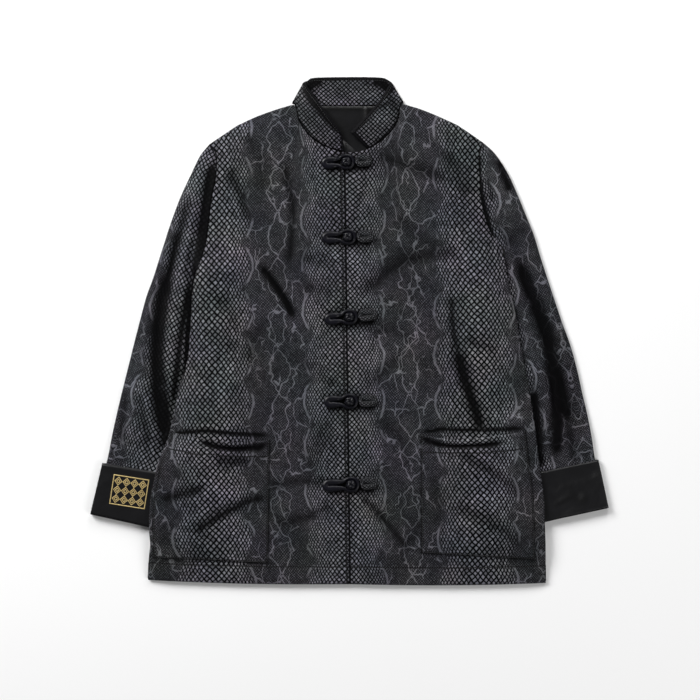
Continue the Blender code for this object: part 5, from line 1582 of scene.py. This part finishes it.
def figure_group():
    """Snakeskin jacquard: bands of diamond scales, and between them a fine ground with pale veins."""
    w, given, out = new_group(
        "Snakeskin figure",
        [
            ("Cloth", "Vector", None), ("Band spacing", "Float", 196.5), ("Band half width", "Float", 51.0),
            ("Wave", "Float", 6.5), ("Wave length", "Float", 68.0),
            ("Scale width", "Float", 7.3), ("Scale length", "Float", 8.0),
            ("Side band", "Float", 0.18),
        ],
        [("Lightness", "Float"), ("Height", "Float")],
    )
    flat = w.scaled(given["Cloth"], 1000.0)
    sway = w.split(w.noise(flat, SWAY[0], 0.5)["Color"])
    place = w.split(flat)
    ripple = w.split(w.noise(flat, RIPPLE[0], 1.0)["Color"])
    u, v = (w.linear(ripple[i], RIPPLE[1], w.linear(sway[i], SWAY[1], place[i])) for i in (0, 1))
    spacing = given["Band spacing"]
    band = w.maths("FLOOR", w.add(w.over(u, spacing), 0.5))
    d = w.less(u, w.times(band, spacing))
    away = w.size(d)
    wave = w.size(w.maths("SINE", w.over(w.times(v, math.pi), given["Wave length"])))
    edge = w.linear(w.add(w.times(wave, 2.0), -1.2), given["Wave"], given["Band half width"])
    inside = w.step(w.less(away, edge), 1.8, -1.8)
    share = w.over(d, edge)
    squeezed = w.times(d, w.linear(w.times(share, share), 0.34, 1.0))
    larger = w.linear(w.least(w.size(band), 1.0), given["Side band"], 1.0)
    width, length = (w.times(given["Scale " + way], larger) for way in ("width", "length"))
    line, p, q = lattice(w, squeezed, v, width, length)
    cell = w.node("ShaderNodeTexWhiteNoise", w.joined(p, q, band)).outputs["Value"]
    scale = w.times(w.step(line, 0.15, 0.21), w.linear(line, 0.8, 0.5))
    scale = w.times(scale, w.linear(cell, 0.5, 0.42))
    grain, gp, gq = lattice(w, u, v, *GRAIN_SIZE)
    grain_cell = w.node("ShaderNodeTexWhiteNoise", w.joined(gp, gq, 3.0)).outputs["Value"]
    ground = w.times(w.step(grain, 0.10, 0.30, 0.1, 1.3), w.linear(grain_cell, 0.9, 0.6))
    bend = w.split(w.noise(flat, VEIN_BEND[0], 2.0)["Color"])
    bent = (w.linear(bend[i], VEIN_BEND[1], place[i]) for i in (0, 1))
    vein_at = w.joined(*(w.times(way, 1.0 / size) for way, size in zip(bent, VEIN_SIZE)))
    cells = w.node("ShaderNodeTexVoronoi", vein_at, feature="DISTANCE_TO_EDGE", voronoi_dimensions="2D")
    cells.inputs["Scale"].default_value = 1.0
    branches = w.step(cells.outputs["Distance"], 0.042, 0.012)
    branches = w.times(branches, w.step(w.noise(flat, 0.033, 1.0)["Fac"], 0.47, 0.55))
    belly = w.linear(spacing, 0.5, w.times(away, -1.0))
    belly = w.linear(bend[2], 16.0, w.add(belly, -8.0))
    swell = w.size(w.maths("SINE", w.over(w.times(w.add(v, 21.0), math.pi), given["Wave length"])))
    reach = w.linear(w.noise(flat, 0.06, 1.0)["Fac"], 22.0, 4.0)
    lens = w.size(w.less(w.size(belly), w.linear(swell, reach, -0.8)))
    chain = w.step(lens, 1.3, 0.4)
    border = w.step(w.size(w.add(w.less(away, edge), -4.4)), 2.2, 1.1, 0.0, 0.9)
    gaps = w.step(w.noise(flat, 0.02, 1.0)["Fac"], 0.40, 0.52)
    border = w.times(border, w.times(w.step(wave, 0.2, 0.5), gaps))
    veins = w.most(w.most(branches, chain), border)
    veins = w.times(veins, w.less(1.0, inside))
    vein_light = w.linear(grain_cell, 0.14, w.step(grain, 0.04, 0.2, 0.26, 0.42))
    quiet = w.blended(veins, w.times(ground, 0.158), vein_light)
    w.put(out["Lightness"], w.blended(inside, quiet, scale))
    w.put(out["Height"], w.blended(inside, w.times(veins, 0.5), w.step(line, 0.05, 0.42)))


def thread_group():
    """Woven threads: a fine rib each way, for the bump."""
    w, given, out = new_group(
        "Woven threads", [("Cloth", "Vector", None), ("Thread", "Float", 0.45)], [("Height", "Float")]
    )
    flat = w.split(w.scaled(given["Cloth"], 1000.0))
    across = w.fold(w.over(w.add(flat[0], w.times(flat[1], 0.35)), given["Thread"]), 1.0)
    along_way = w.fold(w.over(flat[1], given["Thread"]), 1.0)
    w.put(out["Height"], w.add(across, w.times(along_way, 0.6)))


def press_group():
    """A line of stitching pressed into the cloth, at a distance from an edge, and the wear on that edge."""
    w, given, out = new_group(
        "Pressed edge",
        [("Seams", "Vector", None), ("First line", "Float", 4.5), ("Second line", "Float", 25.0),
         ("Strength", "Float", 1.0), ("Cloth", "Vector", None)],
        [("Groove", "Float"), ("Wear", "Float")],
    )
    flat = w.split(w.scaled(given["Seams"], 1000.0))
    first = w.step(w.size(w.less(flat[0], given["First line"])), 1.6, 0.5)
    first = w.most(first, w.step(flat[0], 1.8, 0.7))
    first = w.times(first, given["Strength"])
    second = w.step(w.size(w.less(flat[1], given["Second line"])), 1.6, 0.2)
    w.put(out["Groove"], w.most(first, second))
    patches = w.noise(given["Cloth"], 70.0, 3.0)["Fac"]
    rub = w.step(w.least(flat[0], flat[1]), 2.2, 0.2)
    w.put(out["Wear"], w.times(rub, w.step(patches, 0.45, 0.7)))


def patch_group():
    """Slow uneven patches in two sizes, and a painted sheen tint that slowly changes its hue."""
    w, given, out = new_group(
        "Uneven dye", [("Cloth", "Vector", None)], [("Factor", "Float"), ("Tint", "Color")]
    )
    large = w.noise(given["Cloth"], 14.0, 2.0)
    small = w.step(w.noise(given["Cloth"], 55.0, 2.0)["Fac"], 0.3, 0.7, -0.08, 0.08)
    w.put(out["Factor"], w.add(w.step(large["Fac"], 0.3, 0.7, 0.74, 1.18), small))
    # The tint is painted sheen: a slow change of hue that stands for the satin's sheen
    w.put(out["Tint"], w.mixed(0.26, (1.0, 1.0, 1.0, 1.0), large["Color"]))


def tinted(colour, factor=1.0):
    """A colour for a socket, made darker or lighter."""
    return (*[factor * c for c in colour], 1.0)


def new_material(name, **constants):
    """A material with its own Principled shader, whose constant values are set on its sockets."""
    material = bpy.data.materials.new(name)
    material.use_nodes = True
    wires = Wires(material.node_tree)
    shader = material.node_tree.nodes["Principled BSDF"]
    for label, value in constants.items():
        shader.inputs[label.replace("_", " ")].default_value = value
    return material, wires, shader.inputs


def bumped(wires, shader, runs):
    """Bump nodes in a row, each (height, depth in metres, strength), into the shader's normal."""
    normal = None
    for height, depth, strength in runs:
        node = wires.node("ShaderNodeBump")
        values = {"Height": height, "Distance": depth, "Strength": strength, "Normal": normal}
        for label, value in values.items():
            wires.put(node.inputs[label], value)
        normal = node.outputs[0]
    wires.put(shader["Normal"], normal)


def jacquard_material(name, first_line, second_line, strength, piped, tone, colours, **figure):
    """Snakeskin jacquard with its pressed stitch lines, the shade and highlight painted along its creases,
    a painted sheen tint and, where it is piped, a plain satin edge.
    """
    material, w, shader = new_material(name, Roughness=0.5, Specular_IOR_Level=0.04, IOR=1.5)
    cloth = w.uv("cloth")
    scales = group_node(w, "Snakeskin figure", Cloth=cloth, **figure)
    seams = w.uv("seams")
    pressed = group_node(
        w, "Pressed edge", Seams=seams, Cloth=cloth, First_line=first_line, Second_line=second_line,
        Strength=strength,
    )
    dye_and_sheen = group_node(w, "Uneven dye", Cloth=cloth)
    threads = group_node(w, "Woven threads", Cloth=cloth)
    light = w.add(scales["Lightness"], w.times(pressed["Wear"], 0.12))
    light = w.times(light, w.linear(pressed["Groove"], -0.95, 1.0))
    # Painted shade in creases and painted highlight on ridges, from the mesh's shade attribute
    light = w.times(w.times(light, w.times(dye_and_sheen["Factor"], tone)), w.unshaded(0.98))
    colour = w.node("ShaderNodeMix", 1.0, data_type="RGBA", blend_type="MULTIPLY")
    w.put(colour.inputs[6], w.mixed(light, tinted(colours.line_colour), tinted(colours.pale_colour)))
    # A painted sheen tint
    w.put(colour.inputs[7], dye_and_sheen["Tint"])
    colour = colour.outputs[2]
    if piped:
        from_edge = w.split(seams)[0]
        edge = w.step(from_edge, piped + 0.0004, piped - 0.0002)
        colour = w.mixed(edge, colour, tinted(colours.satin_colour))
    w.put(shader["Base Color"], colour)
    bumped(w, shader, [
        (w.times(pressed["Groove"], -1.0), 0.0010, 0.8),
        (scales["Height"], 0.00035, 0.4),
        (threads["Height"], 0.00006, 0.15),
    ])
    return material


def satin_material(name, colour, wrinkle, **constants):
    """Plain warp satin: dark, smooth, with fine threads, small wrinkles, and the shade and highlight
    painted along its creases.
    """
    material, w, shader = new_material(name, **constants)
    cloth = w.uv("cloth")
    threads = group_node(w, "Woven threads", Cloth=cloth, Thread=0.3)
    dye_and_sheen = group_node(w, "Uneven dye", Cloth=cloth)
    # Painted shade in creases and painted highlight on ridges, from the mesh's shade attribute
    share = w.times(w.times(dye_and_sheen["Factor"], w.unshaded(0.95)), 0.5)
    w.put(shader["Base Color"], w.mixed(share, (0.002, 0.002, 0.002, 1.0), tinted(colour, 2.0)))
    folds = w.noise(w.place(), 90.0, 2.0)["Fac"]
    bumped(w, shader, [(folds, 0.002, wrinkle), (threads["Height"], 0.00006, 0.2)])
    return material


def gold_material(colours):
    """Gold thread laid across each bar."""
    material, w, shader = new_material("Gold thread", Roughness=0.42, Metallic=0.35, Specular_IOR_Level=0.5)
    place = w.split(w.uv("cloth"))
    ply = w.fold(w.times(w.add(place[1], w.times(place[0], 0.3)), 1.0 / GOLD_PLY), 1.0)
    share = w.times(w.add(ply, w.noise(w.place(), 900.0, 2.0)["Fac"]), 0.5)
    gold = colours.gold_colour
    w.put(shader["Base Color"], w.mixed(share, tinted(gold, 0.45), tinted(gold, 1.15)))
    bumped(w, shader, [(ply, 0.00012, 0.7)])
    return material


def thread_material(colours):
    """Dark sewing thread."""
    material, w, shader = new_material("Sewing thread", Roughness=0.55, Sheen_Weight=0.2)
    share = w.noise(w.place(), 1500.0, 1.0)["Fac"]
    thread = colours.thread_colour
    w.put(shader["Base Color"], w.mixed(share, tinted(thread, 0.5), tinted(thread, 1.5)))
    return material


def floor_material(colours):
    """Plain pale ground, almost even."""
    material, w, shader = new_material("Pale floor", Roughness=0.85)
    grain = w.noise(w.place(), 3.0, 2.0)["Fac"]
    floor = colours.floor_colour
    w.put(shader["Base Color"], w.mixed(grain, tinted(floor, 0.985), tinted(floor)))
    return material


# Settings

def length_property(name, description, default):
    return bpy.props.FloatProperty(
        name=name, description=description, default=default, unit="LENGTH", subtype="DISTANCE"
    )


def power_property(name, description, default):
    return bpy.props.FloatProperty(name=name, description=description, default=default, unit="POWER")


def colour_property(name, description, default):
    return bpy.props.FloatVectorProperty(
        name=name, description=description, default=default, size=3, min=0.0, max=1.0, subtype="COLOR"
    )


class JacketSizes(bpy.types.PropertyGroup):
    """Sizes of the stitching and of the folds."""

    fold_depth: bpy.props.FloatProperty(
        name="Fold depth", description="How deep the folds are, 1 as laid", default=1.0, min=0.0, max=3.0
    )
    stitch_length: length_property("Stitch length", "Length of one topstitch", 0.0026)
    stitch_width: length_property("Stitch width", "Width of one topstitch", 0.0006)
    stitch_height: length_property("Stitch height", "Height of one topstitch", 0.0005)
    stitch_pitch: length_property("Stitch pitch", "From one stitch to the next", 0.0036)


class JacketColours(bpy.types.PropertyGroup):
    """Colours of the cloth and thread."""

    line_colour: colour_property("Line", "Darkest thread, between the scales", (0.0012, 0.0012, 0.0014))
    pale_colour: colour_property("Scale", "Palest thread, in the scales and veins", (0.285, 0.285, 0.322))
    satin_colour: colour_property("Satin", "Cuffs, lining and piping", (0.0048, 0.0048, 0.0056))
    cord_colour: colour_property("Cord", "Satin of the fastenings", (0.0030, 0.0030, 0.0058))
    gold_colour: colour_property("Gold", "Embroidery thread", (0.66, 0.50, 0.21))
    thread_colour: colour_property("Thread", "Sewing thread", (0.012, 0.012, 0.013))
    floor_colour: colour_property("Floor", "The surface that the jacket lies on", (0.90, 0.90, 0.90))


class JacketStage(bpy.types.PropertyGroup):
    """Camera and lights."""

    camera_height: length_property("Camera height", "Height of the camera over the jacket", 2.484)
    key_power: power_property("Key power", "Power of the large soft light", 140.0)
    fill_power: power_property("Fill power", "Power of the light from the other side", 36.0)
    top_power: power_property("Top power", "Power of the light beyond the collar", 45.0)
    world_light: bpy.props.FloatProperty(
        name="World light", description="Strength of the even light", default=0.14, min=0.0, max=5.0
    )


class JacketSettings(bpy.types.PropertyGroup):
    """All settings of the laid jacket."""

    sizes: bpy.props.PointerProperty(name="Sizes", description="Stitching and folds", type=JacketSizes)
    colours: bpy.props.PointerProperty(name="Colours", description="Cloth and thread", type=JacketColours)
    stage: bpy.props.PointerProperty(name="Stage", description="Camera and lights", type=JacketStage)


# Building blocks of the operators

def needed(name):
    """An object by name; a piece that isn't there stops the script."""
    obj = bpy.data.objects.get(name)
    if obj is None:
        raise RuntimeError("the piece " + name + " has to be built first")
    return obj


def material_for(label, colours):
    """The material with that label, made the first time that it is asked for."""
    found = bpy.data.materials.get(label)
    if found:
        return found
    if "Snakeskin figure" not in bpy.data.node_groups:
        figure_group()
        thread_group()
        press_group()
        patch_group()
    if label in JACQUARDS:
        *values, figure = JACQUARDS[label]
        return jacquard_material(label, *values, colours, **figure)
    if label in SATINS:
        colour, wrinkle, roughness, specular = SATINS[label]
        constants = {"Roughness": roughness, "Sheen_Weight": 0.0, "Specular_IOR_Level": specular}
        return satin_material(label, getattr(colours, colour), wrinkle, **constants)
    if label == "Gold thread":
        return gold_material(colours)
    if label == "Sewing thread":
        return thread_material(colours)
    raise RuntimeError("no material is called " + label)


def dress(obj, context, material, nodes=()):
    """A finished piece: its material, the body that it goes with, and the CAD nodes that it stands for."""
    obj.data.materials.clear()
    obj.data.materials.append(material_for(material, context.scene.jacket.colours))
    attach(obj, BODY)
    if nodes:
        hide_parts(*nodes)


class JACKET_OT_stage(bpy.types.Operator):
    """Sets the floor, the lights and the camera over the jacket"""

    bl_idname = "jacket.stage"
    bl_label = "Floor, lights and camera"

    def execute(self, context):
        settings = context.scene.jacket
        mesh = bpy.data.meshes.new("floor")
        corners = [(-FLOOR_HALF, -FLOOR_HALF), (FLOOR_HALF, -FLOOR_HALF)]
        corners += [(FLOOR_HALF, FLOOR_HALF), (-FLOOR_HALF, FLOOR_HALF)]
        mesh.from_pydata([(x, y, FLOOR_Z) for x, y in corners], [], [(0, 1, 2, 3)])
        mesh.materials.append(floor_material(settings.colours))
        floor = bpy.data.objects.new("floor", mesh)
        context.scene.collection.objects.link(floor)
        for name, (place, size) in LIGHTS.items():
            lamp = bpy.data.lights.new(name, "AREA")
            lamp.shape, lamp.size = "SQUARE", size
            lamp.energy = getattr(settings.stage, name.replace(" light", "_power"))
            lamp_object = bpy.data.objects.new(name, lamp)
            lamp_object.location = place
            lamp_object.rotation_euler = (-Vector(place)).to_track_quat("-Z", "Y").to_euler()
            context.scene.collection.objects.link(lamp_object)
        world = bpy.data.worlds.new("even light")
        world.use_nodes = True
        sky = world.node_tree.nodes["Background"].inputs
        sky["Color"].default_value = (1.0, 1.0, 1.0, 1.0)
        sky["Strength"].default_value = settings.stage.world_light
        context.scene.world = world
        context.scene.view_settings.view_transform = "Standard"
        camera = bpy.data.cameras.new("camera")
        camera.lens, camera.sensor_width, camera.clip_end = CAMERA_LENS, CAMERA_SENSOR, 20.0
        camera_object = bpy.data.objects.new("camera", camera)
        camera_object.location = (*CAMERA_OVER, settings.stage.camera_height)
        context.scene.collection.objects.link(camera_object)
        context.scene.camera = camera_object
        return {"FINISHED"}


class JACKET_OT_back(bpy.types.Operator):
    """Builds the back panel"""

    bl_idname = "jacket.back"
    bl_label = "Back"

    def execute(self, context):
        obj = cloth_wall("cloth_back", *back_surface())
        dress(obj, context, "Back jacquard", ["back"])
        return {"FINISHED"}


class JACKET_OT_fronts(bpy.types.Operator):
    """Builds both front panels with their folds"""

    bl_idname = "jacket.fronts"
    bl_label = "Fronts"

    def execute(self, context):
        depth = context.scene.jacket.sizes.fold_depth
        for side in SIDES:
            obj = cloth_wall("cloth_front_" + side, *front_surface(side, depth))
            dress(obj, context, side.capitalize() + " front jacquard", ["front_" + side])
        return {"FINISHED"}


class JACKET_OT_sleeves(bpy.types.Operator):
    """Builds both sleeves, flat tubes tucked under the body"""

    bl_idname = "jacket.sleeves"
    bl_label = "Sleeves"

    def execute(self, context):
        depth = context.scene.jacket.sizes.fold_depth
        for side in SIDES:
            obj = tube_skin("cloth_sleeve_" + side, *sleeve_surface(side, depth))
            dress(obj, context, "Sleeve jacquard", ["sleeve_" + side])
        return {"FINISHED"}


class JACKET_OT_cuffs(bpy.types.Operator):
    """Builds both turned-back satin cuffs"""

    bl_idname = "jacket.cuffs"
    bl_label = "Cuffs"

    def execute(self, context):
        for side in SIDES:
            obj = make_mesh("satin_cuff_" + side, *cuff_surface(side))
            dress(obj, context, "Black satin", ["cuff_" + side])
        return {"FINISHED"}


class JACKET_OT_collar(bpy.types.Operator):
    """Builds the stand collar"""

    bl_idname = "jacket.collar"
    bl_label = "Collar"

    def execute(self, context):
        obj = cloth_wall("cloth_collar", *collar_surface())
        dress(obj, context, "Collar jacquard", ["collar"])
        return {"FINISHED"}


class JACKET_OT_neck(bpy.types.Operator):
    """Builds the lining and the underlap that show in the neck"""

    bl_idname = "jacket.neck"
    bl_label = "Neck lining and underlap"

    def execute(self, context):
        top, under, cloth_map, dark = lining_surface()
        lining = cloth_wall("satin_lining", top, under, cloth_map, plain_maps(top.shape[:2]), dark)
        dress(lining, context, "Lining satin", ["neck_lining"])
        top, under, cloth_map = underlap_surface()
        strip = cloth_wall("satin_underlap", top, under, cloth_map, plain_maps(top.shape[:2]))
        dress(strip, context, "Black satin", ["underlap"])
        return {"FINISHED"}


class JACKET_OT_pockets(bpy.types.Operator):
    """Builds both patch pockets from the fronts' own form"""

    bl_idname = "jacket.pockets"
    bl_label = "Pockets"

    def execute(self, context):
        depth = context.scene.jacket.sizes.fold_depth
        for side in SIDES:
            needed("cloth_front_" + side)
            front = front_surface(side, depth)
            obj = cloth_wall("cloth_pocket_" + side, *pocket_surface(side, front[0], front[2], depth))
            dress(obj, context, "Pocket jacquard", ["pocket_" + side])
        return {"FINISHED"}


class JACKET_OT_frogs(bpy.types.Operator):
    """Builds the five frog fastenings on the fronts"""

    bl_idname = "jacket.frogs"
    bl_label = "Frog fastenings"

    def execute(self, context):
        height = surface_finder(["cloth_front_" + side for side in SIDES])
        for number, row in enumerate(FROGS, 1):
            place = (row[1], row[0], math.radians(row[4]))
            loop, stem = frog_lines(row)
            name = "frog_%d_" % number
            made = (
                ("loop", cord_ring("cord_" + name + "loop", loop, place, height), "Cord satin"),
                ("wing", cord_ring("cord_" + name + "wing", stem, place, height), "Cord jacquard"),
                ("knot", ball_knot("cord_" + name + "knot", place, height), "Cord satin"),
            )
            for kind, obj, material in made:
                dress(obj, context, material, [name + kind])
        return {"FINISHED"}


class JACKET_OT_embroidery(bpy.types.Operator):
    """Builds the gold block of lozenges on the right cuff"""

    bl_idname = "jacket.embroidery"
    bl_label = "Gold embroidery"

    def execute(self, context):
        height = surface_finder(["satin_cuff_right"])
        points, faces, run = [], [], []
        for line, width in gold_paths():
            new_points, new_faces, new_run = gold_bar(line, width, height)
            faces += [tuple(len(points) + i for i in face) for face in new_faces]
            points += new_points
            run += new_run
        dress(trim_mesh("gold_embroidery", points, faces, run), context, "Gold thread")
        return {"FINISHED"}


class JACKET_OT_topstitching(bpy.types.Operator):
    """Sets the topstitching on the fronts, pockets and collar"""

    bl_idname = "jacket.topstitching"
    bl_label = "Topstitching"

    def execute(self, context):
        sizes = context.scene.jacket.sizes
        points, edges = [], []
        for run in stitch_runs(sizes.fold_depth):
            edges += [(len(points) + i, len(points) + i + 1) for i in range(len(run) - 1)]
            points += run.tolist()
        mesh = bpy.data.meshes.new("topstitching")
        mesh.from_pydata(((np.array(points) + (*LAYOUT_SHIFT, 0.08)) * MM).tolist(), edges, [])
        obj = bpy.data.objects.new("topstitching", mesh)
        context.scene.collection.objects.link(obj)
        tree = stitch_tree()
        modifier = obj.modifiers.new("Running stitch", "NODES")
        modifier.node_group = tree
        thread = material_for("Sewing thread", context.scene.jacket.colours)
        values = {
            "Stitch length": sizes.stitch_length, "Stitch width": sizes.stitch_width,
            "Stitch height": sizes.stitch_height, "Pitch": sizes.stitch_pitch, "Material": thread,
        }
        for socket in tree.interface.items_tree:
            if socket.in_out == "INPUT" and socket.name in values:
                modifier[socket.identifier] = values[socket.name]
        evaluated = obj.evaluated_get(context.evaluated_depsgraph_get())
        stitched = bpy.data.meshes.new_from_object(evaluated)
        obj.modifiers.clear()
        obj.data = stitched
        if not stitched.polygons:
            raise RuntimeError("the topstitching has no stitches")
        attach(obj, BODY)
        return {"FINISHED"}


class JACKET_PT_panel(bpy.types.Panel):
    """The jacket's settings and the steps that build it"""

    bl_idname = "JACKET_PT_panel"
    bl_label = "Laid jacket"
    bl_space_type = "VIEW_3D"
    bl_region_type = "UI"
    bl_category = "Jacket"

    def draw(self, context):
        settings = context.scene.jacket
        for group in (settings.sizes, settings.colours, settings.stage):
            box = self.layout.box()
            for key in group.__annotations__:
                box.prop(group, key)
        for operator in OPERATORS:
            self.layout.operator(operator.bl_idname)


GROUPS = (JacketSizes, JacketColours, JacketStage, JacketSettings)
OPERATORS = (
    JACKET_OT_stage, JACKET_OT_back, JACKET_OT_fronts, JACKET_OT_sleeves, JACKET_OT_cuffs, JACKET_OT_collar,
    JACKET_OT_neck, JACKET_OT_pockets, JACKET_OT_frogs, JACKET_OT_embroidery, JACKET_OT_topstitching,
)


def register():
    for cls in GROUPS + OPERATORS + (JACKET_PT_panel,):
        bpy.utils.register_class(cls)
    bpy.types.Scene.jacket = bpy.props.PointerProperty(
        name="Jacket", description="Settings of the laid jacket", type=JacketSettings
    )


def unregister():
    del bpy.types.Scene.jacket
    for cls in (JACKET_PT_panel,) + OPERATORS[::-1] + GROUPS[::-1]:
        bpy.utils.unregister_class(cls)


def main():
    register()
    bpy.ops.jacket.stage()
    bpy.ops.jacket.back()
    bpy.ops.jacket.fronts()
    bpy.ops.jacket.sleeves()
    bpy.ops.jacket.cuffs()
    bpy.ops.jacket.collar()
    bpy.ops.jacket.neck()
    bpy.ops.jacket.pockets()
    bpy.ops.jacket.frogs()
    bpy.ops.jacket.embroidery()
    bpy.ops.jacket.topstitching()


if __name__ == "__main__":
    main()
